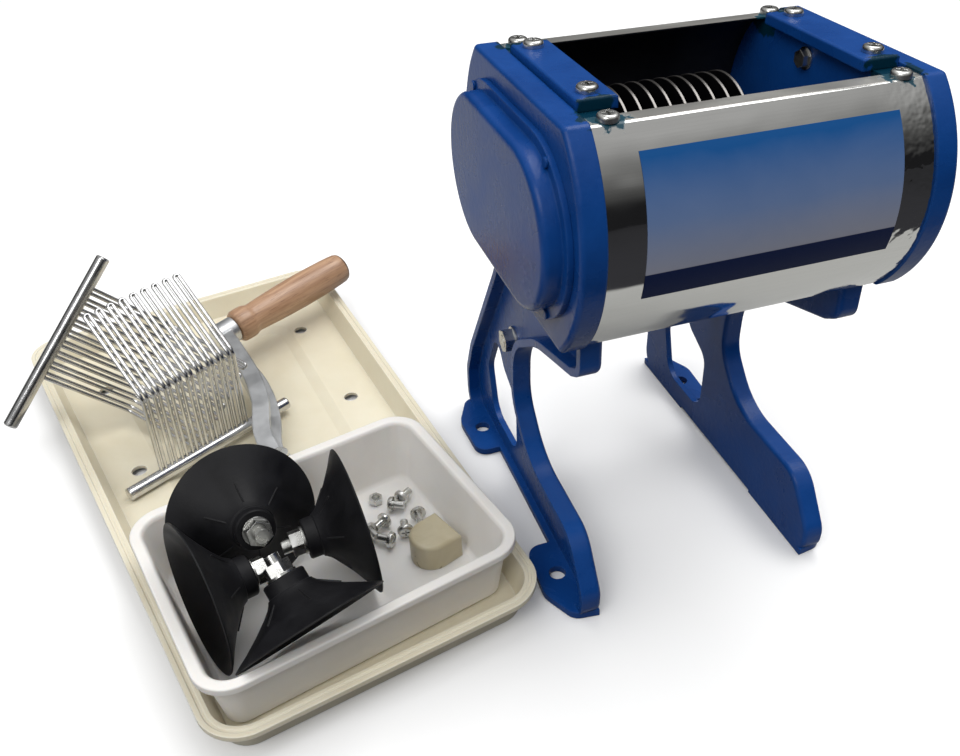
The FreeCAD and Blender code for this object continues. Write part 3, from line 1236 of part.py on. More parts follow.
def hairpin():
    """One bent wire pair: up from the rod, over the bend, round the tip."""
    gap = V.wire_pair / 2
    bend = math.radians(V.comb_bend)
    tip = Vector(0, math.sin(bend), math.cos(bend))
    radius = V.comb_bend_radius
    reach = radius * math.tan(bend / 2)
    corner = Vector(0, 0, V.comb_root)
    straight_end = corner - Vector(0, 0, reach)
    tip_start = corner + tip * reach
    bisector = tip - Vector(0, 0, 1)
    bisector.normalize()
    top = corner + bisector * (radius / math.cos(bend / 2) - radius)
    tip_end = corner + tip * (V.comb_tip - gap)

    def shifted(vector, x):
        return Vector(x, vector.y, vector.z)

    edges = []
    for x, forward in ((-gap, True), (gap, False)):
        start = Vector(x, 0, 0)
        run = [Part.LineSegment(start, shifted(straight_end, x)),
               Part.Arc(shifted(straight_end, x), shifted(top, x), shifted(tip_start, x)),
               Part.LineSegment(shifted(tip_start, x), shifted(tip_end, x))]
        edges.append(run)
    turn = Part.Arc(shifted(tip_end, -gap), tip_end + tip * gap, shifted(tip_end, gap))
    path = Part.Wire(Part.__sortEdges__([item.toShape() for item in edges[0] + [turn] + edges[1]]))
    section = Part.Wire(Part.makeCircle(V.wire_radius, Vector(-gap, 0, 0), Vector(0, 0, 1)))
    pipe = path.makePipeShell([section], True, False)
    return pipe.cut(Part.makeCylinder(V.comb_rod_radius, 40, Vector(-20, 0, 0), Vector(1, 0, 0)))


def combs():
    """Two stripper combs: a rod with a row of bent wire pairs."""
    pin = hairpin()
    count = int(V.blade_count) - 1
    for which in ("one", "two"):
        spot = comb_frame(which)
        shift = COMB_SHIFT[which]
        half = V.comb_rod_length / 2
        rod = Part.makeCylinder(V.comb_rod_radius, V.comb_rod_length, Vector(-half, 0, 0), Vector(1, 0, 0))
        ends = [edge for edge in rod.Edges if abs(abs(edge.CenterOfMass.x) - half) < 0.01]
        rod = rod.makeFillet(1.5, ends)
        keep(feature("comb_%s_rod_part" % which, rod, spot), "comb_%s_rod" % which)
        first = shift - (count - 1) / 2 * V.blade_pitch
        wires = []
        for i in range(count):
            copy = pin.copy()
            copy.translate(Vector(first + i * V.blade_pitch, 0, 0))
            wires.append(copy)
        keep(feature("comb_%s_wires_part" % which, Part.makeCompound(wires), spot), "comb_%s_wires" % which)


# --------------------------------------------------------------------- build
def build():
    right_casting()
    left_casting()
    gear_cover()
    shroud(-1, "front_sheet", "front_shroud")
    shroud(1, "back_sheet", "back_shroud")
    top_bar(-1, "left_bar", "left_top_bar")
    top_bar(1, "right_bar", "right_top_bar")
    top_screws()
    right_leg()
    leg_bolts()
    stay_rod()
    bushes()
    comb_bolts()
    count = int(V.blade_count)
    arbor_shaft("drive", AT_BACK, "(Sizes.body_width / 2 + Sizes.lip_thickness)", "drive_shaft", True)
    arbor_shaft("driven", AT_FRONT, "(Sizes.body_width / 2 - 1)", "driven_shaft", False)
    knives("back", BACK_Y, count, "back_knives")
    knives("front", FRONT_Y, count - 1, "front_knives")
    spacers("back_tube", BACK_Y, count, "back_spacers")
    spacers("front_tube", FRONT_Y, count - 1, "front_spacers")
    gear("drive_wheel", BACK_Y, 0.0, "drive_gear")
    teeth = int(round(V.arbor_spacing / V.gear_module))
    gear("driven_wheel", FRONT_Y, 180.0 / teeth, "driven_gear")
    shaft_nut("drive_nut", AT_BACK, "drive_nut")
    shaft_nut("driven_nut", AT_FRONT, "driven_nut")
    tray()
    catch_box()
    suction_cups()
    loose_screws()
    shaft_cap()
    crank_arm()
    crank_small_parts()
    crank_grip()
    combs()


def check():
    """Every object is up to date and every sub-part is a valid solid."""
    for obj in doc.Objects:
        bad = [state for state in obj.State if state in ("Invalid", "Error")]
        if bad:
            raise RuntimeError("%s is %s" % (obj.Label, bad))
    for obj in NODES:
        shape = obj.Shape
        if shape.isNull() or not shape.isValid() or not shape.Solids:
            raise RuntimeError("%s has no valid solid" % obj.Label)


def export():
    os.makedirs("parts", exist_ok=True)
    for obj in NODES:
        obj.Shape.exportStep("parts/%s.step" % obj.Label)
        box = obj.Shape.BoundBox
        print("%-20s solids %3d  x %7.1f %7.1f  y %7.1f %7.1f  z %6.1f %6.1f" % (
            obj.Label, len(obj.Shape.Solids), box.XMin, box.XMax, box.YMin, box.YMax, box.ZMin, box.ZMax))


build()
doc.recompute()
check()
export()
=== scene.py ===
# %% [markdown]
# # A hand cranked meat slicer with its accessories
#
# Two arbors of round knives turn against each other inside a cast body, and strips of meat fall out below.
# The solid model already has every part at its real size and place. This lesson dresses it: each part gets
# a procedural material, and the moulded, rubber and wooden pieces, whose soft shapes are awkward as solids,
# are modelled here and take the place of their solids.

# %% Load the frame
import json
import math

import bpy
from mathutils import Euler, Matrix, Vector


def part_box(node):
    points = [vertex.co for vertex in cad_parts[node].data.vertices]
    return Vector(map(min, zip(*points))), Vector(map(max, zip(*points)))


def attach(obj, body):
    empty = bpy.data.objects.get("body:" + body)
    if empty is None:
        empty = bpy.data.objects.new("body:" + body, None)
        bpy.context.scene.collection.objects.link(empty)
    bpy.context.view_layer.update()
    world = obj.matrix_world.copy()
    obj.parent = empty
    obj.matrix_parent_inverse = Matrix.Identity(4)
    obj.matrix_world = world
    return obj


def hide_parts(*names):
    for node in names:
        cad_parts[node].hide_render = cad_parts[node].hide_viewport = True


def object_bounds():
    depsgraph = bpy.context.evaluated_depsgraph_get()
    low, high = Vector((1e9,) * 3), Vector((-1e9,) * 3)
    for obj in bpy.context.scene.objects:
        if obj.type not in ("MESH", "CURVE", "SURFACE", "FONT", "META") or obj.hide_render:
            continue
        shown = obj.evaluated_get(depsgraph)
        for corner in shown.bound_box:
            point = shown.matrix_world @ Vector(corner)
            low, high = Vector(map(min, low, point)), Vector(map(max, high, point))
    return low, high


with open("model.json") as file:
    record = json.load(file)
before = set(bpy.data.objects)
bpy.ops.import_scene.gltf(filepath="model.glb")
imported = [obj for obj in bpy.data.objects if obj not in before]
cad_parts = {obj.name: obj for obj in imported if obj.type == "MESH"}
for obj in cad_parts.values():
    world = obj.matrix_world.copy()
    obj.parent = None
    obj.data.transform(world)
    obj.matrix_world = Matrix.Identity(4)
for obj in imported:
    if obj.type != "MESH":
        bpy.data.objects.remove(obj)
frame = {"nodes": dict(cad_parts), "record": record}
cad_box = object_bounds()
MM = 0.001
print("CAD box in mm:", [[round(c / MM, 1) for c in corner] for corner in cad_box])

# %% [markdown]
# ## Helpers for modelling
#
# Every piece starts from a clean selection, is modelled in its own upright frame, and is then laid where the
# solid lies. Its place is applied to the mesh, so the finished object sits at the origin. Before that move
# the mesh keeps a copy of its own coordinates, which the wood grain needs to follow the piece.


# %% Modelling helpers
def clear_selection():
    if bpy.context.mode != "OBJECT":
        bpy.ops.object.mode_set(mode="OBJECT")
    bpy.ops.object.select_all(action="DESELECT")


def activate(piece):
    clear_selection()
    piece.select_set(True)
    bpy.context.view_layer.objects.active = piece
    return piece


def pick(piece, kind, test):
    """In edit mode, selects only the faces, edges or vertices for which test(item) is true."""
    bpy.ops.mesh.select_mode(type=kind)
    bpy.ops.mesh.select_all(action="DESELECT")
    bpy.ops.object.mode_set(mode="OBJECT")
    items = {"FACE": piece.data.polygons, "EDGE": piece.data.edges, "VERT": piece.data.vertices}[kind]
    for item in items:
        item.select = bool(test(item))
    bpy.ops.object.mode_set(mode="EDIT")


def apply_modifier(piece, kind, **settings):
    activate(piece)
    modifier = piece.modifiers.new(kind.lower(), kind)
    for key, value in settings.items():
        setattr(modifier, key, value)
    bpy.ops.object.modifier_apply(modifier=modifier.name)


def lay(piece, place):
    """Stores the piece's own coordinates, then puts it at its place in the frame."""
    own = piece.data.attributes.new("own_place", "FLOAT_VECTOR", "POINT")
    own.data.foreach_set("vector", [c for vertex in piece.data.vertices for c in vertex.co])
    piece.matrix_world = place
    activate(piece)
    bpy.ops.object.transform_apply(location=True, rotation=True, scale=True)
    return piece


def profile_piece(name, profile, steps):
    """Spins a profile of (radius, height) in millimetres about the upright axis."""
    mesh = bpy.data.meshes.new(name)
    points = [(radius * MM, 0.0, height * MM) for radius, height in profile]
    mesh.from_pydata(points, [(i, i + 1) for i in range(len(points) - 1)], [])
    piece = bpy.data.objects.new(name, mesh)
    bpy.context.scene.collection.objects.link(piece)
    activate(piece)
    bpy.ops.object.mode_set(mode="EDIT")
    bpy.ops.mesh.select_all(action="SELECT")
    bpy.ops.mesh.spin(steps=steps, angle=2 * math.pi, center=(0, 0, 0), axis=(0, 0, 1))
    bpy.ops.mesh.select_all(action="SELECT")
    bpy.ops.mesh.remove_doubles(threshold=0.01 * MM)
    bpy.ops.mesh.normals_make_consistent(inside=False)
    bpy.ops.object.mode_set(mode="OBJECT")
    return piece


def smooth(piece, degrees=35):
    activate(piece)
    bpy.ops.object.shade_smooth_by_angle(angle=math.radians(degrees))


def turned(axis, degrees):
    return Matrix.Rotation(math.radians(degrees), 4, axis)


def moved(x, y, z):
    return Matrix.Translation(Vector((x, y, z)) * MM)


# %% [markdown]
# ## Shader groups that several materials share
#
# A real surface is never one flat colour. The groups below give the masks and normals that all the
# materials draw on: a fine grain on rounded edges, an edge mask that serves as wear on the paint and as a
# painted highlight on plastic and metal rims, brushing along the sheet, slow patches of lighter and darker
# tone, and the smear of paint that oozed out under the screws.


# %% Node helpers
def add(tree, kind, settings=None, **inputs):
    """Adds a node, sets its properties, and links or sets its inputs by name."""
    made = tree.nodes.new(kind)
    for key, value in (settings or {}).items():
        setattr(made, key, value)
    for key, value in inputs.items():
        socket = made.inputs[int(key[1:])] if key[0] == "_" else made.inputs[key.replace("_", " ")]
        if isinstance(value, bpy.types.NodeSocket):
            tree.links.new(value, socket)
        else:
            socket.default_value = value
    return made


def compute(tree, operation, first, second=0.0, third=0.0, clamp=False):
    settings = {"operation": operation, "use_clamp": clamp}
    return add(tree, "ShaderNodeMath", settings, _0=first, _1=second, _2=third).outputs[0]


def remap(tree, value, low, high, to_low=0.0, to_high=1.0):
    made = add(tree, "ShaderNodeMapRange", None, Value=value)
    made.inputs["From Min"].default_value = low
    made.inputs["From Max"].default_value = high
    made.inputs["To Min"].default_value = to_low
    made.inputs["To Max"].default_value = to_high
    return made.outputs[0]


def mix_colour(tree, factor, first, second):
    made = add(tree, "ShaderNodeMix", {"data_type": "RGBA"}, _0=factor, _6=first, _7=second)
    return made.outputs[2]


def mix_value(tree, factor, first, second):
    return add(tree, "ShaderNodeMix", {"data_type": "FLOAT"}, _0=factor, _2=first, _3=second).outputs[0]


def rgb(red, green, blue):
    return (red, green, blue, 1.0)


def new_group(name, inputs, outputs):
    tree = bpy.data.node_groups.new(name, "ShaderNodeTree")
    for title, value in inputs:
        tree.interface.new_socket(title, in_out="INPUT", socket_type="NodeSocketFloat").default_value = value
    for title, kind in outputs:
        tree.interface.new_socket(title, in_out="OUTPUT", socket_type="NodeSocket" + kind)
    return tree, tree.nodes.new("NodeGroupInput").outputs, tree.nodes.new("NodeGroupOutput").inputs


def use(tree, group, **inputs):
    made = tree.nodes.new("ShaderNodeGroup")
    made.node_tree = group
    for key, value in inputs.items():
        socket = made.inputs[key.replace("_", " ")]
        if isinstance(value, bpy.types.NodeSocket):
            tree.links.new(value, socket)
        else:
            socket.default_value = value
    return made.outputs


# %% Group: fine grain over rounded edges
def make_grain():
    tree, given, result = new_group(
        "fine_grain", [("Scale", 900.0), ("Height", 0.00005), ("Rounding", 0.0006)],
        [("Value", "Float"), ("Normal", "Vector")])
    place = add(tree, "ShaderNodeTexCoord").outputs["Object"]
    noise = add(tree, "ShaderNodeTexNoise", None, Vector=place, Scale=given["Scale"], Detail=3.0,
                Roughness=0.6)
    rounded = add(tree, "ShaderNodeBevel", {"samples": 4}, Radius=given["Rounding"])
    bump = add(tree, "ShaderNodeBump", None, Height=noise.outputs[0], Distance=given["Height"], Strength=1.0,
               Normal=rounded.outputs[0])
    tree.links.new(noise.outputs[0], result["Value"])
    tree.links.new(bump.outputs[0], result["Normal"])
    return tree


# %% Group: worn edges, and painted highlights on edges
def make_edges():
    tree, given, result = new_group(
        "worn_and_highlit_edges", [("Radius", 0.0012), ("Patchiness", 0.6)], [("Mask", "Float")])
    # This mask lightens edges: wear on the paint, and a painted highlight on plastic and metal rims.
    rounded = add(tree, "ShaderNodeBevel", {"samples": 4}, Radius=given["Radius"]).outputs[0]
    flat = add(tree, "ShaderNodeNewGeometry").outputs["Normal"]
    alike = add(tree, "ShaderNodeVectorMath", {"operation": "DOT_PRODUCT"},
                _0=rounded, _1=flat).outputs["Value"]
    edge = remap(tree, alike, 0.99, 0.8)
    place = add(tree, "ShaderNodeTexCoord").outputs["Object"]
    noise = add(tree, "ShaderNodeTexNoise", None, Vector=place, Scale=160.0, Detail=4.0).outputs[0]
    patches = remap(tree, noise, 0.45, 0.6)
    kept = mix_value(tree, given["Patchiness"], 1.0, patches)
    tree.links.new(compute(tree, "MULTIPLY", edge, kept, clamp=True), result["Mask"])
    return tree


# %% Group: brushing along the arbors' direction
def make_brushing():
    tree, given, result = new_group(
        "brushing", [("Fineness", 1800.0)], [("Value", "Float"), ("Height", "Float")])
    place = add(tree, "ShaderNodeTexCoord").outputs["Object"]
    long = add(tree, "ShaderNodeMapping", None, Vector=place, Scale=(0.012, 1.0, 1.0)).outputs[0]
    lines = add(tree, "ShaderNodeTexNoise", None, Vector=long, Scale=given["Fineness"], Detail=2.0).outputs[0]
    tree.links.new(remap(tree, lines, 0.3, 0.7), result["Value"])
    tree.links.new(lines, result["Height"])
    return tree


# %% Group: slow patches of tone
def make_patches():
    tree, given, result = new_group("patches", [("Scale", 18.0)], [("Value", "Float")])
    place = add(tree, "ShaderNodeTexCoord").outputs["Object"]
    noise = add(tree, "ShaderNodeTexNoise", None, Vector=place, Scale=given["Scale"], Detail=5.0,
                Roughness=0.55, Distortion=0.4).outputs[0]
    tree.links.new(remap(tree, noise, 0.3, 0.7), result["Value"])
    return tree


# %% Sizes that the groups and materials refer to, in millimetres
BODY_Y = -46.0
ARBOR_SPACING, ARBOR_HEIGHT = 60.0, 241.0
BLADE_RADIUS = 33.0
SCREW_HEAD_RADIUS = 4.9
GRIP_LENGTH = 106.0


# %% Group: paint smeared round the shroud's screws
def make_smear():
    low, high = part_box("shroud_screws")
    middle, half = (low + high) / 2, (high - low) / 2
    head = SCREW_HEAD_RADIUS * MM
    tree, given, result = new_group("screw_smear", [("Reach", 9.0 * MM)], [("Mask", "Float")])
    place = add(tree, "ShaderNodeTexCoord").outputs["Object"]
    from_middle = add(tree, "ShaderNodeVectorMath", {"operation": "SUBTRACT"}, _0=place,
                      _1=(middle.x, middle.y, high.z)).outputs[0]
    folded = add(tree, "ShaderNodeVectorMath", {"operation": "ABSOLUTE"}, _0=from_middle).outputs[0]
    spot = (half.x - head, half.y - head - 4.0 * MM, 2.0 * MM)
    distance = add(tree, "ShaderNodeVectorMath", {"operation": "DISTANCE"},
                   _0=folded, _1=spot).outputs["Value"]
    noise = add(tree, "ShaderNodeTexNoise", None, Vector=place, Scale=210.0, Detail=4.0).outputs[0]
    ragged = compute(tree, "MULTIPLY_ADD", noise, -16.0 * MM, distance)
    edge = compute(tree, "SUBTRACT", compute(tree, "SUBTRACT", given["Reach"], 8.0 * MM), ragged)
    tree.links.new(remap(tree, edge, 0.0, 1.2 * MM), result["Mask"])
    return tree


GRAIN = make_grain()
EDGES = make_edges()
BRUSHING = make_brushing()
PATCHES = make_patches()
SMEAR = make_smear()
print("shader groups:", [group.name for group in bpy.data.node_groups])

# %% [markdown]
# ## Materials
#
# One material for each finish that the record lists. The paint is a thick enamel over rough castings, so it
# has a gentle orange peel and pools darker in places. The sheet is mirror-like, but thin and not quite flat,
# so its reflections waver; its inner side is coloured dark as painted shade. The knives are coloured near
# black as painted shade, with bright rims. Rubber is nearly black and dull, and moulded plastic lets a little
# light through; its edges carry a painted highlight.


# %% Start of a material
def new_material(name, **settings):
    material = bpy.data.materials.new(name)
    material.use_nodes = True
    tree = material.node_tree
    shader = tree.nodes["Principled BSDF"]
    for key, value in settings.items():
        shader.inputs[key.replace("_", " ")].default_value = value
    return material, tree, shader.inputs


# %% Paint
def blue_paint():
    material, tree, shader = new_material("blue_paint", Specular_IOR_Level=0.22)
    tone = use(tree, PATCHES, Scale=22.0)["Value"]
    body = mix_colour(tree, tone, rgb(0.003, 0.040, 0.190), rgb(0.006, 0.062, 0.270))
    wear_and_highlight = use(tree, EDGES, Radius=0.0016, Patchiness=0.5)["Mask"]
    # On the paint, the lighter blue on the edges is wear.
    edged = mix_colour(tree, compute(tree, "MULTIPLY", wear_and_highlight, 0.4), body, rgb(0.02, 0.10, 0.34))
    smear = use(tree, SMEAR, Reach=13.0 * MM)["Mask"]
    tree.links.new(mix_colour(tree, smear, edged, rgb(0.001, 0.026, 0.050)), shader["Base Color"])
    grain = use(tree, GRAIN, Scale=260.0, Height=0.00018, Rounding=0.0012)
    tree.links.new(grain["Normal"], shader["Normal"])
    tree.links.new(mix_value(tree, tone, 0.22, 0.34), shader["Roughness"])
    return material


# %% Stainless sheet
def stainless():
    """Bright sheet; its lips are brushed dull, and the side that faces the knives is coloured dark as painted
    shade.
    """
    material, tree, shader = new_material("stainless", Metallic=1.0)
    lines = use(tree, BRUSHING, Fineness=1500.0)
    tone = use(tree, PATCHES, Scale=14.0)["Value"]
    surface = add(tree, "ShaderNodeNewGeometry").outputs
    normal = add(tree, "ShaderNodeSeparateXYZ", None, _0=surface["True Normal"])
    place = add(tree, "ShaderNodeTexCoord").outputs["Object"]
    spot = add(tree, "ShaderNodeSeparateXYZ", None, _0=place)
    from_middle = compute(tree, "ADD", spot.outputs[1], -BODY_Y * MM)
    outwards = compute(tree, "MULTIPLY", normal.outputs[1], from_middle)
    # Faces turned into the body get a near black colour: painted shade for the dark inside of the body.
    inside = compute(tree, "LESS_THAN", outwards, 0.0)
    lip = remap(tree, normal.outputs[2], 0.9, 0.97)
    steel = mix_colour(tree, lines["Value"], rgb(0.64, 0.64, 0.62), rgb(0.67, 0.67, 0.65))
    steel = mix_colour(tree, lip, steel, rgb(0.74, 0.73, 0.69))
    # Painted shade on the inner side of the sheet.
    steel = mix_colour(tree, inside, steel, rgb(0.035, 0.037, 0.045))
    smear = use(tree, SMEAR, Reach=10.0 * MM)["Mask"]
    tree.links.new(mix_colour(tree, smear, steel, rgb(0.002, 0.05, 0.08)), shader["Base Color"])
    tree.links.new(compute(tree, "SUBTRACT", 1.0, smear), shader["Metallic"])
    rough = mix_value(tree, tone, 0.05, 0.13)
    rough = mix_value(tree, lip, rough, 0.34)
    rough = mix_value(tree, inside, rough, 0.5)
    tree.links.new(mix_value(tree, smear, rough, 0.35), shader["Roughness"])
    wide = add(tree, "ShaderNodeMapping", None, Vector=place, Scale=(0.6, 1.0, 1.0)).outputs[0]
    dents = add(tree, "ShaderNodeTexNoise", None, Vector=wide, Scale=26.0, Detail=2.0).outputs[0]
    waver = add(tree, "ShaderNodeBump", None, Height=dents, Distance=0.004, Strength=0.6)
    hammered = add(tree, "ShaderNodeTexNoise", None, Vector=place, Scale=230.0, Detail=1.0).outputs[0]
    near_end = remap(tree, spot.outputs[0], 52 * MM, 72 * MM)
    crumple = add(tree, "ShaderNodeBump", None, Height=compute(tree, "MULTIPLY", hammered, near_end),
                  Distance=0.0007, Strength=0.5, Normal=waver.outputs[0])
    fine = add(tree, "ShaderNodeBump", None, Height=lines["Height"], Distance=0.000006, Strength=0.4,
               Normal=crumple.outputs[0])
    tree.links.new(fine.outputs[0], shader["Normal"])
    return material


# %% Other metals
def metal(name, dark, light, rough, scale, rounding=0.0005, edge=0.0):
    """A metal whose tone and polish vary in patches, with a bright rim on its edges, partly wear and partly a
    painted highlight.
    """
    material, tree, shader = new_material(name, Metallic=1.0)
    tone = use(tree, PATCHES, Scale=scale)["Value"]
    colour = mix_colour(tree, tone, rgb(*dark), rgb(*light))
    if edge:
        # The near white rim on the edges is partly wear and partly a painted highlight.
        wear_and_highlight = use(tree, EDGES, Radius=0.001, Patchiness=0.2)["Mask"]
        colour = mix_colour(tree, compute(tree, "MULTIPLY", wear_and_highlight, edge), colour, rgb(0.92, 0.92, 0.92))
    tree.links.new(colour, shader["Base Color"])
    tree.links.new(mix_value(tree, tone, rough, rough * 1.8), shader["Roughness"])
    grain = use(tree, GRAIN, Scale=1200.0, Height=0.00003, Rounding=rounding)
    tree.links.new(grain["Normal"], shader["Normal"])
    return material


def knife_steel():
    """Discs coloured near black as painted shade for the dark inside of the body; only their square rims are
    ground bright.
    """
    material, tree, shader = new_material("knife_steel", Metallic=0.8)
    place = add(tree, "ShaderNodeSeparateXYZ", None, _0=add(tree, "ShaderNodeTexCoord").outputs["Object"])
    from_middle = compute(tree, "ABSOLUTE", compute(tree, "ADD", place.outputs[1], -BODY_Y * MM))
    across = compute(tree, "ADD", from_middle, -ARBOR_SPACING / 2 * MM)
    above = compute(tree, "ADD", place.outputs[2], -ARBOR_HEIGHT * MM)
    radius = compute(tree, "SQRT", compute(tree, "ADD", compute(tree, "MULTIPLY", across, across),
                                           compute(tree, "MULTIPLY", above, above)))
    ground = remap(tree, radius, (BLADE_RADIUS - 0.5) * MM, (BLADE_RADIUS - 0.2) * MM)
    tone = use(tree, PATCHES, Scale=90.0)["Value"]
    # The near black of the discs is painted shade for their place deep inside the body.
    black = mix_colour(tree, tone, rgb(0.004, 0.004, 0.006), rgb(0.014, 0.014, 0.017))
    tree.links.new(mix_colour(tree, ground, black, rgb(0.20, 0.19, 0.18)), shader["Base Color"])
    tree.links.new(mix_value(tree, ground, 0.45, 0.25), shader["Roughness"])
    grain = use(tree, GRAIN, Scale=1400.0, Height=0.00002, Rounding=0.0002)
    tree.links.new(grain["Normal"], shader["Normal"])
    return material


# %% Plastics
def moulded(name, dark, light, rough, passing, scale=16.0):
    """Moulded plastic: light passes through it, its skin has a faint ripple, and its edges carry a painted
    highlight.
    """
    material, tree, shader = new_material(
        name, Transmission_Weight=passing, IOR=1.45, Subsurface_Weight=0.25, Subsurface_Scale=0.004)
    shader["Subsurface Radius"].default_value = (1.0, 0.8, 0.6)
    tone = use(tree, PATCHES, Scale=scale)["Value"]
    edge = use(tree, EDGES, Radius=0.0015, Patchiness=0.1)["Mask"]
    body = mix_colour(tree, tone, rgb(*dark), rgb(*light))
    # Edges mixed towards near white: a painted highlight.
    tree.links.new(mix_colour(tree, compute(tree, "MULTIPLY", edge, 0.5), body, rgb(0.93, 0.92, 0.89)),
                   shader["Base Color"])
    tree.links.new(mix_value(tree, tone, rough, rough + 0.12), shader["Roughness"])
    grain = use(tree, GRAIN, Scale=420.0, Height=0.00005, Rounding=0.0006)
    tree.links.new(grain["Normal"], shader["Normal"])
    return material


def black_rubber():
    """Moulded rubber: dull, with a bloom of paler dust, and a little lighter on its edges."""
    material, tree, shader = new_material("black_rubber", Specular_IOR_Level=0.25)
    tone = use(tree, PATCHES, Scale=60.0)["Value"]
    bloom = mix_colour(tree, tone, rgb(0.003, 0.003, 0.004), rgb(0.010, 0.010, 0.012))
    rim = use(tree, EDGES, Radius=0.0008, Patchiness=0.4)["Mask"]
    # The edges are mixed a little towards grey.
    tree.links.new(mix_colour(tree, compute(tree, "MULTIPLY", rim, 0.25), bloom, rgb(0.08, 0.08, 0.08)),
                   shader["Base Color"])
    tree.links.new(mix_value(tree, tone, 0.42, 0.6), shader["Roughness"])
    grain = use(tree, GRAIN, Scale=700.0, Height=0.00006, Rounding=0.0005)
    tree.links.new(grain["Normal"], shader["Normal"])
    return material


# %% Wood
def beech():
    """Turned beech: fine grain and darker flecks that run along the grip."""
    material, tree, shader = new_material("beech", Coat_Weight=0.35, Coat_Roughness=0.25)
    own = add(tree, "ShaderNodeAttribute", {"attribute_name": "own_place"}).outputs["Vector"]
    along = add(tree, "ShaderNodeMapping", None, Vector=own, Scale=(1.0, 1.0, 0.06)).outputs[0]
    grain = add(tree, "ShaderNodeTexNoise", None, Vector=along, Scale=420.0, Detail=5.0,
                Distortion=0.3).outputs[0]
    flecks = add(tree, "ShaderNodeTexNoise", None, Vector=along, Scale=1500.0, Detail=2.0).outputs[0]
    wood = mix_colour(tree, remap(tree, grain, 0.35, 0.68), rgb(0.50, 0.305, 0.185), rgb(0.33, 0.18, 0.10))
    fleck = remap(tree, flecks, 0.6, 0.72, 0.0, 0.6)
    wood = mix_colour(tree, fleck, wood, rgb(0.17, 0.085, 0.045))
    height = add(tree, "ShaderNodeSeparateXYZ", None, _0=own).outputs[2]
    # The last 2.2 mm at the counterbored end are coloured dark.
    dark_end = compute(tree, "GREATER_THAN", height, (GRIP_LENGTH - 2.2) * MM)
    wood = mix_colour(tree, compute(tree, "MULTIPLY", dark_end, 0.75), wood, rgb(0.05, 0.022, 0.012))
    tree.links.new(wood, shader["Base Color"])
    tree.links.new(remap(tree, grain, 0.3, 0.7, 0.32, 0.5), shader["Roughness"])
    bump = add(tree, "ShaderNodeBump", None, Height=grain, Distance=0.00012, Strength=0.5)
    tree.links.new(bump.outputs[0], shader["Normal"])
    return material


# %% Give every carried-over part its material
MATERIALS = {
    "blue_paint": blue_paint(),
    "stainless": stainless(),
    "zinc": metal("zinc", (0.55, 0.55, 0.52), (0.74, 0.74, 0.72), 0.2, 120.0, edge=0.3),
    "knife_steel": knife_steel(),
    "bright_steel": metal("bright_steel", (0.50, 0.50, 0.50), (0.72, 0.72, 0.72), 0.14, 80.0),
    "bronze": metal("bronze", (0.42, 0.26, 0.11), (0.60, 0.40, 0.19), 0.28, 110.0),
    "tray_plastic": moulded("tray_plastic", (0.67, 0.61, 0.46), (0.75, 0.70, 0.56), 0.34, 0.0),
    "box_plastic": moulded("box_plastic", (0.84, 0.81, 0.77), (0.91, 0.89, 0.86), 0.28, 0.12),
    "cap_plastic": moulded("cap_plastic", (0.56, 0.49, 0.32), (0.68, 0.61, 0.44), 0.26, 0.3, 60.0),
    "black_rubber": black_rubber(),
    "cast_aluminium": metal("cast_aluminium", (0.56, 0.57, 0.58), (0.72, 0.73, 0.74), 0.3, 70.0, 0.0015, 0.5),
    "beech": beech(),
}
for subpart in frame["record"]["subparts"]:
    part = frame["nodes"][subpart["node"]]
    part.data.materials.clear()
    part.data.materials.append(MATERIALS[subpart["material_slot"]])
print(len(frame["nodes"]), "parts have", len(MATERIALS), "materials")


# %% [markdown]
# ## The tray
#
# The tray is vacuum formed or moulded ivory plastic. Its rim is a rounded bead with a groove inside it, its
# wall slopes to a ledge with six holes for the feet, and a panel in the middle is sunk to the table, with a
# sloping edge. It is modelled from one plane that is pulled to a trapezoid: insets walk in from the rim and
# down the wall, as the mould does, and the panel and the holes are cut at the end.


# %% Rounded plate, the start of the moulded pieces
def rounded_plate(name, front, back, length, radius, bottom, thickness):
    """A plate with round corners; front and back are its widths. All in millimetres."""
    clear_selection()
    bpy.ops.mesh.primitive_plane_add(size=1, location=(0, 0, bottom * MM))
    piece = bpy.context.object
    piece.name = piece.data.name = name
    piece.scale = (front * MM, length * MM, 1)
    bpy.ops.object.transform_apply(location=True, rotation=True, scale=True)
    bpy.ops.object.mode_set(mode="EDIT")
    pick(piece, "VERT", lambda vertex: vertex.co.y > 0)
    bpy.ops.transform.resize(value=(back / front, 1, 1))
    bpy.ops.mesh.select_all(action="SELECT")
    bpy.ops.mesh.bevel(affect="VERTICES", offset=radius * MM, segments=10, profile=0.5)
    pick(piece, "FACE", lambda face: True)
    bpy.ops.mesh.extrude_region_move(TRANSFORM_OT_translate={"value": (0, 0, thickness * MM)})
    bpy.ops.mesh.select_all(action="SELECT")
    bpy.ops.mesh.normals_make_consistent(inside=False)
    return piece


def walk(piece, up, steps):
    """Insets the end face that looks up or down, once for each (inwards, outwards) step in millimetres."""
    bpy.ops.object.mode_set(mode="OBJECT")
    faces = [face for face in piece.data.polygons if face.normal.z * up > 0.9]
    end = max(faces, key=lambda face: (face.center.z * up, face.area))
    index = end.index
    bpy.ops.object.mode_set(mode="EDIT")
    pick(piece, "FACE", lambda face: face.index == index)
    for inwards, outwards in steps:
        bpy.ops.mesh.inset(thickness=inwards * MM, depth=outwards * MM)


def carve(piece, tool, operation="DIFFERENCE"):
    apply_modifier(piece, "BOOLEAN", object=tool, operation=operation, solver="EXACT")
    bpy.data.objects.remove(tool)


# %% Model the tray
TRAY_PLACE = moved(-228.5, 88.2, 0) @ turned("Z", 11.6)
BOX_PLACE = moved(-207.0, -37.0, 5.9) @ turned("Z", 14.0)
HOLE_X = 77.0
HOLE_ROWS = (-109.0, 37.0, 143.0)
HOLE_RADIUS = 5.0


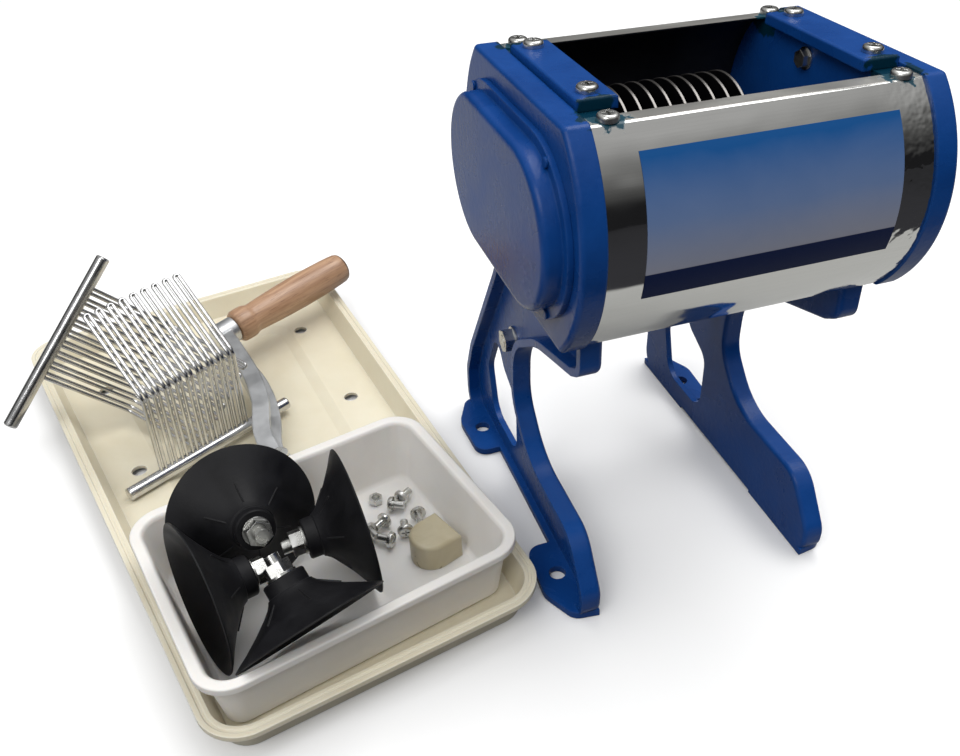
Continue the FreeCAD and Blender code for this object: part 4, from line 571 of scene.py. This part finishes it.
def build_tray():
    tray = rounded_plate("tray_moulding", 192.0, 240.0, 420.0, 24.0, 18.6, 3.4)
    walk(tray, 1, [(0.7, 0.0), (1.8, 0.0), (0.5, -0.9), (1.3, 0.0), (0.5, 0.6), (1.9, 0.0), (5.9, -16.1)])
    walk(tray, -1, [(5.0, 0.0), (5.0, 18.6), (2.6, 0.0), (0.3, -3.0)])
    bpy.ops.object.mode_set(mode="OBJECT")
    under = rounded_plate("panel_under", 102.5, 139.6, 325.2, 16.0, 0.0, 4.0)
    bpy.ops.object.mode_set(mode="OBJECT")
    carve(tray, under, "UNION")
    panel = rounded_plate("panel_cut", 105.1, 142.6, 328.0, 20.0, 5.61, 4.0)
    walk(panel, -1, [(8.0, 3.0)])
    bpy.ops.object.mode_set(mode="OBJECT")
    carve(tray, panel)
    for row in HOLE_ROWS:
        for x in (HOLE_X, -HOLE_X):
            bpy.ops.mesh.primitive_cylinder_add(vertices=48, radius=HOLE_RADIUS * MM, depth=20 * MM,
                                                location=(x * MM, row * MM, 4 * MM))
            carve(tray, bpy.context.object)
    apply_modifier(tray, "BEVEL", width=0.9 * MM, segments=3, limit_method="ANGLE",
                   angle_limit=math.radians(15))
    smooth(tray, 40)
    apply_modifier(tray, "WEIGHTED_NORMAL", weight=60, keep_sharp=True)
    lay(tray, TRAY_PLACE)
    tray.data.materials.append(MATERIALS["tray_plastic"])
    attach(tray, "tray")
    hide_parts("tray")
    return tray


tray = build_tray()
print("tray:", len(tray.data.polygons), "faces")


# %% [markdown]
# ## The catch box
#
# The box is injection moulded from unfilled polypropylene, milky and thin. Its walls lean so that it leaves
# the mould, the corners and the floor are well rounded, and a rolled rim stiffens the mouth.


# %% Model the catch box
def build_box():
    box = rounded_plate("catch_box_moulding", 184.0, 184.0, 144.0, 20.0, 39.0, 5.0)
    walk(box, 1, [(1.2, 0.0), (4.6, 0.0), (1.4, -2.0), (5.0, -38.0), (2.0, -2.0)])
    walk(box, -1, [(5.0, 0.0), (5.5, 36.0), (2.5, 3.0)])
    bpy.ops.object.mode_set(mode="OBJECT")
    apply_modifier(box, "BEVEL", width=1.0 * MM, segments=4, limit_method="ANGLE",
                   angle_limit=math.radians(25))
    smooth(box, 50)
    apply_modifier(box, "WEIGHTED_NORMAL", weight=60, keep_sharp=True)
    lay(box, BOX_PLACE)
    box.data.materials.append(MATERIALS["box_plastic"])
    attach(box, "catch_box")
    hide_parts("catch_box")
    return box


catch_box = build_box()
print("catch box:", len(catch_box.data.polygons), "faces")


# %% [markdown]
# ## The suction feet
#
# Each foot is a rubber cup moulded round a steel stud. The wall thins to a lip that seals on the table, the
# cone is slightly hollow towards the hub, and thin ribs run down from the hub so that it doesn't fold.


# %% Model a suction foot once and copy it
CUP_POSES = (
    ((-32.5, 38.0, 42.5), -90.0, 24.0),
    ((-74.5, -10.0, 46.1), 4.0, -3.0),
    ((-30.0, -53.2, 36.8), 98.0, 37.0),
    ((19.3, -4.8, 46.1), 172.2, -3.0),
)
CUP_PROFILE = (
    (0.0, 16.6), (5.0, 16.3), (9.5, 15.2), (22.0, 9.2), (34.0, 3.6), (40.5, 0.5), (42.0, 0.0), (42.6, 0.3),
    (42.4, 0.9), (40.0, 2.4), (34.0, 5.6), (26.0, 10.6), (19.0, 15.6), (14.8, 19.2), (13.0, 21.6),
    (12.5, 22.6), (11.6, 23.0), (11.5, 24.4), (11.5, 29.2), (10.9, 30.0), (8.2, 30.0),
)
RIB_COUNT = 6


def build_cup():
    cup = profile_piece("cup_master", CUP_PROFILE, 96)
    parts = [cup]
    for index in range(RIB_COUNT):
        clear_selection()
        bpy.ops.mesh.primitive_cube_add(size=1, location=(19.5 * MM, 0, 15.6 * MM))
        rib = bpy.context.object
        rib.scale = (13 * MM, 0.7 * MM, 1.1 * MM)
        rib.rotation_euler = Euler((0, math.radians(36), 0))
        bpy.ops.object.transform_apply(location=True, rotation=True, scale=True)
        apply_modifier(rib, "BEVEL", width=0.3 * MM, segments=2)
        rib.matrix_world = turned("Z", index * 360 / RIB_COUNT)
        activate(rib)
        bpy.ops.object.transform_apply(location=True, rotation=True, scale=True)
        parts.append(rib)
    clear_selection()
    for part in parts:
        part.select_set(True)
    bpy.context.view_layer.objects.active = cup
    bpy.ops.object.join()
    smooth(cup, 32)
    return cup


def place_cups():
    master = build_cup()
    cups = []
    for index, (centre, turn, tilt) in enumerate(CUP_POSES, start=1):
        cup = master.copy()
        cup.data = master.data.copy()
        cup.name = cup.data.name = "suction_cup_%d_rubber" % index
        bpy.context.scene.collection.objects.link(cup)
        lay(cup, BOX_PLACE @ moved(*centre) @ turned("Z", turn) @ turned("Y", 90 - tilt))
        cup.data.materials.append(MATERIALS["black_rubber"])
        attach(cup, "catch_box")
        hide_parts("suction_cup_%d" % index)
        cups.append(cup)
    bpy.data.objects.remove(master)
    return cups


cups = place_cups()
print("suction feet:", [cup.name for cup in cups])

# %% [markdown]
# ## The wooden grip
#
# The grip is turned from a beech dowel: a short bead against the arm, a neck, then a long barrel whose end is
# rounded over and counterbored for the spindle's end, and coloured dark in a thin ring at that end. It is
# spun from its profile, so its grain can follow its own axis.

# %% Model the grip
CRANK_PLACE = (moved(-237.1, 216.1, 34.0) @ turned("Z", 28.0) @ turned("Y", 90 - 4.8)
               @ turned("Z", -90 + 3.9))
GRIP_START = 6.5
GRIP_PROFILE = (
    (4.6, 0.0), (10.2, 0.0), (11.6, 0.7), (12.8, 2.2), (13.1, 5.0), (13.1, 10.5), (12.7, 12.8), (11.9, 14.6),
    (11.5, 16.6), (11.6, 19.2), (12.0, 25.0), (12.5, 34.0), (13.1, 48.0), (13.4, 62.0), (13.3, 76.0),
    (12.9, 90.0), (12.5, 98.0), (12.1, 102.4), (11.2, 104.8), (9.6, 106.0), (7.3, 106.0),
    (7.3, 102.0), (4.6, 102.0),
)


def build_grip():
    grip = profile_piece("crank_grip_wood", GRIP_PROFILE, 72)
    smooth(grip, 50)
    lay(grip, CRANK_PLACE @ moved(0, 0, GRIP_START))
    grip.data.materials.append(MATERIALS["beech"])
    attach(grip, "grip")
    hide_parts("crank_grip")
    return grip


grip = build_grip()
print("grip:", len(grip.data.polygons), "faces")

# %% [markdown]
# ## The label
#
# A printed vinyl label is stuck on the front sheet. It is bare here: a sky-blue gradient over a navy band. A
# short line as long as the label is spun about the axis of the sheet's bulge, so it lies on the sheet.

# %% Model the label
LABEL_X = (-62.0, 63.0)
LABEL_Z = (221.0, 284.0)
BULGE_Y, BULGE_Z, BULGE_RADIUS = -52.0, 241.0, 73.8
LABEL_LIFT = 0.15
BAND_SHARE = 0.2


def label_vinyl():
    material, tree, shader = new_material("label_vinyl", Roughness=0.45, Specular_IOR_Level=0.12)
    place = add(tree, "ShaderNodeTexCoord").outputs["Object"]
    split = add(tree, "ShaderNodeSeparateXYZ", None, _0=place)
    height = remap(tree, split.outputs[2], LABEL_Z[0] * MM, LABEL_Z[1] * MM)
    haze = use(tree, PATCHES, Scale=14.0)["Value"]
    level = compute(tree, "MULTIPLY_ADD", haze, 0.10, height)
    ramp = add(tree, "ShaderNodeValToRGB", None, Fac=level)
    ramp.color_ramp.elements[0].position = 0.22
    ramp.color_ramp.elements[0].color = rgb(0.34, 0.35, 0.42)
    ramp.color_ramp.elements[1].position = 1.0
    ramp.color_ramp.elements[1].color = rgb(0.006, 0.075, 0.25)
    middle = ramp.color_ramp.elements.new(0.6)
    middle.color = rgb(0.13, 0.20, 0.37)
    band = remap(tree, height, BAND_SHARE + 0.005, BAND_SHARE)
    tree.links.new(mix_colour(tree, band, ramp.outputs[0], rgb(0.004, 0.012, 0.06)), shader["Base Color"])
    grain = use(tree, GRAIN, Scale=1600.0, Height=0.00002, Rounding=0.0001)
    tree.links.new(grain["Normal"], shader["Normal"])
    return material


def build_label():
    radius = BULGE_RADIUS + LABEL_LIFT
    low, high = (math.asin((z - BULGE_Z) / radius) for z in LABEL_Z)
    start = (BULGE_Y - radius * math.cos(low), BULGE_Z + radius * math.sin(low))
    mesh = bpy.data.meshes.new("front_label")
    ends = [(x * MM, start[0] * MM, start[1] * MM) for x in LABEL_X]
    mesh.from_pydata(ends, [(0, 1)], [])
    label = bpy.data.objects.new("front_label", mesh)
    bpy.context.scene.collection.objects.link(label)
    activate(label)
    bpy.ops.object.mode_set(mode="EDIT")
    bpy.ops.mesh.select_all(action="SELECT")
    bpy.ops.mesh.subdivide(number_cuts=15)
    bpy.ops.mesh.spin(steps=32, angle=high - low, center=(0, BULGE_Y * MM, BULGE_Z * MM), axis=(1, 0, 0))
    bpy.ops.mesh.select_all(action="SELECT")
    bpy.ops.mesh.normals_make_consistent(inside=False)
    bpy.ops.object.mode_set(mode="OBJECT")
    apply_modifier(label, "SOLIDIFY", thickness=0.12 * MM, offset=0.0)
    smooth(label, 40)
    label.data.materials.append(label_vinyl())
    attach(label, "machine")
    return label


label = build_label()
label_corners = [[round(v / MM, 1) for v in label.bound_box[corner]] for corner in (0, 6)]
print("label from", label_corners[0], "to", label_corners[1])

# %% [markdown]
# ## Floor, light and camera
#
# A white table, a large lamp from the left front and a larger one from above. The world is dark below the
# horizon and brightens upwards, as a room does, which gives the polished sheet something to mirror. Rays that
# are mirrored see a dimmer room and a table that ends in front of the machine. The camera looks down from the
# front left, as one does who stands in front of the table.


# %% Floor
TABLE_EDGE_Y = -0.29


def white_table():
    """White where it is seen. It mirrors in polished parts as a table that ends, and sheds little light."""
    material, tree, shader = new_material("white_table", Roughness=0.8, Specular_IOR_Level=0.1)
    tone = use(tree, PATCHES, Scale=3.0)["Value"]
    white = mix_colour(tree, tone, rgb(0.95, 0.95, 0.95), rgb(0.98, 0.98, 0.98))
    place = add(tree, "ShaderNodeTexCoord").outputs["Object"]
    forward = add(tree, "ShaderNodeSeparateXYZ", None, _0=place).outputs[1]
    on_table = remap(tree, forward, TABLE_EDGE_Y - 0.01, TABLE_EDGE_Y + 0.01)
    mirrored = mix_colour(tree, on_table, rgb(0.03, 0.03, 0.035), rgb(0.45, 0.45, 0.44))
    path = add(tree, "ShaderNodeLightPath").outputs
    unseen = mix_colour(tree, path["Is Glossy Ray"], rgb(0.10, 0.10, 0.105), mirrored)
    tree.links.new(mix_colour(tree, path["Is Camera Ray"], unseen, white), shader["Base Color"])
    return material


clear_selection()
bpy.ops.mesh.primitive_plane_add(size=8, location=(0, 0, -0.0005))
floor = bpy.context.object
floor.name = "floor"
floor.data.materials.append(white_table())

# %% World
world = bpy.data.worlds.new("room")
bpy.context.scene.world = world
world.use_nodes = True
sky = world.node_tree
sky.nodes.clear()
direction = add(sky, "ShaderNodeTexCoord").outputs["Generated"]
rise = add(sky, "ShaderNodeSeparateXYZ", None, _0=direction).outputs[2]
room = add(sky, "ShaderNodeValToRGB", None, Fac=remap(sky, rise, -0.2, 1.0))
room.color_ramp.elements[0].position = 0.30
room.color_ramp.elements[0].color = rgb(0.03, 0.03, 0.033)
room.color_ramp.elements[1].position = 0.80
room.color_ramp.elements[1].color = rgb(1.0, 1.0, 1.0)
wall = room.color_ramp.elements.new(0.5)
wall.color = rgb(0.22, 0.22, 0.22)
window_side = add(sky, "ShaderNodeVectorMath", {"operation": "DOT_PRODUCT"}, _0=direction,
                  _1=(-0.85, -0.45, 0.28)).outputs["Value"]
window = remap(sky, window_side, 0.80, 0.92, 0.0, 0.5)
lit = mix_colour(sky, window, room.outputs[0], rgb(1.0, 1.0, 1.0))
path = add(sky, "ShaderNodeLightPath").outputs
colour = mix_colour(sky, path["Is Camera Ray"], lit, rgb(1.0, 1.0, 1.0))
strength = mix_value(sky, path["Is Glossy Ray"], 1.2, 0.5)
strength = mix_value(sky, path["Is Camera Ray"], strength, 1.0)
light = add(sky, "ShaderNodeBackground", None, Color=colour, Strength=strength)
sky.links.new(light.outputs[0], add(sky, "ShaderNodeOutputWorld").inputs[0])


# %% Lamps
def lamp(name, place, target, size, power):
    data = bpy.data.lights.new(name, "AREA")
    data.size, data.energy = size, power
    made = bpy.data.objects.new(name, data)
    bpy.context.scene.collection.objects.link(made)
    made.location = place
    made.rotation_euler = (Vector(target) - Vector(place)).to_track_quat("-Z", "Y").to_euler()
    return made


centre = (cad_box[0] + cad_box[1]) / 2
lamp("key", (-1.1, -1.0, 1.7), centre, 0.9, 10.0)
lamp("top", (0.5, 0.3, 1.9), centre, 1.2, 16.0)

# %% Camera
PAN, TILT, ROLL = math.radians(19.28), math.radians(35.11), math.radians(-0.81)
FOCAL_PIXELS, WIDTH, HEIGHT = 948.5, 960, 756
CENTRE_PIXEL = (523.3, 355.9)


def make_camera():
    forward = Vector((math.sin(PAN) * math.cos(TILT), math.cos(PAN) * math.cos(TILT), -math.sin(TILT)))
    right = Vector((math.cos(PAN), -math.sin(PAN), 0))
    up = right.cross(forward)
    right, up = right * math.cos(ROLL) + up * math.sin(ROLL), up * math.cos(ROLL) - right * math.sin(ROLL)
    data = bpy.data.cameras.new("camera")
    data.sensor_width = 36.0
    data.lens = FOCAL_PIXELS / WIDTH * data.sensor_width
    data.shift_x = (WIDTH / 2 - CENTRE_PIXEL[0]) / WIDTH
    data.shift_y = (CENTRE_PIXEL[1] - HEIGHT / 2) / WIDTH
    camera = bpy.data.objects.new("camera", data)
    bpy.context.scene.collection.objects.link(camera)
    turn = Matrix((right, up, -forward)).transposed().to_4x4()
    camera.matrix_world = moved(-224.4, -433.3, 435.6) @ turn
    bpy.context.scene.camera = camera
    return camera


camera = make_camera()
bpy.context.scene.view_settings.view_transform = "Standard"
print("camera at", [round(c / MM, 1) for c in camera.location], "lens", round(camera.data.lens, 2))
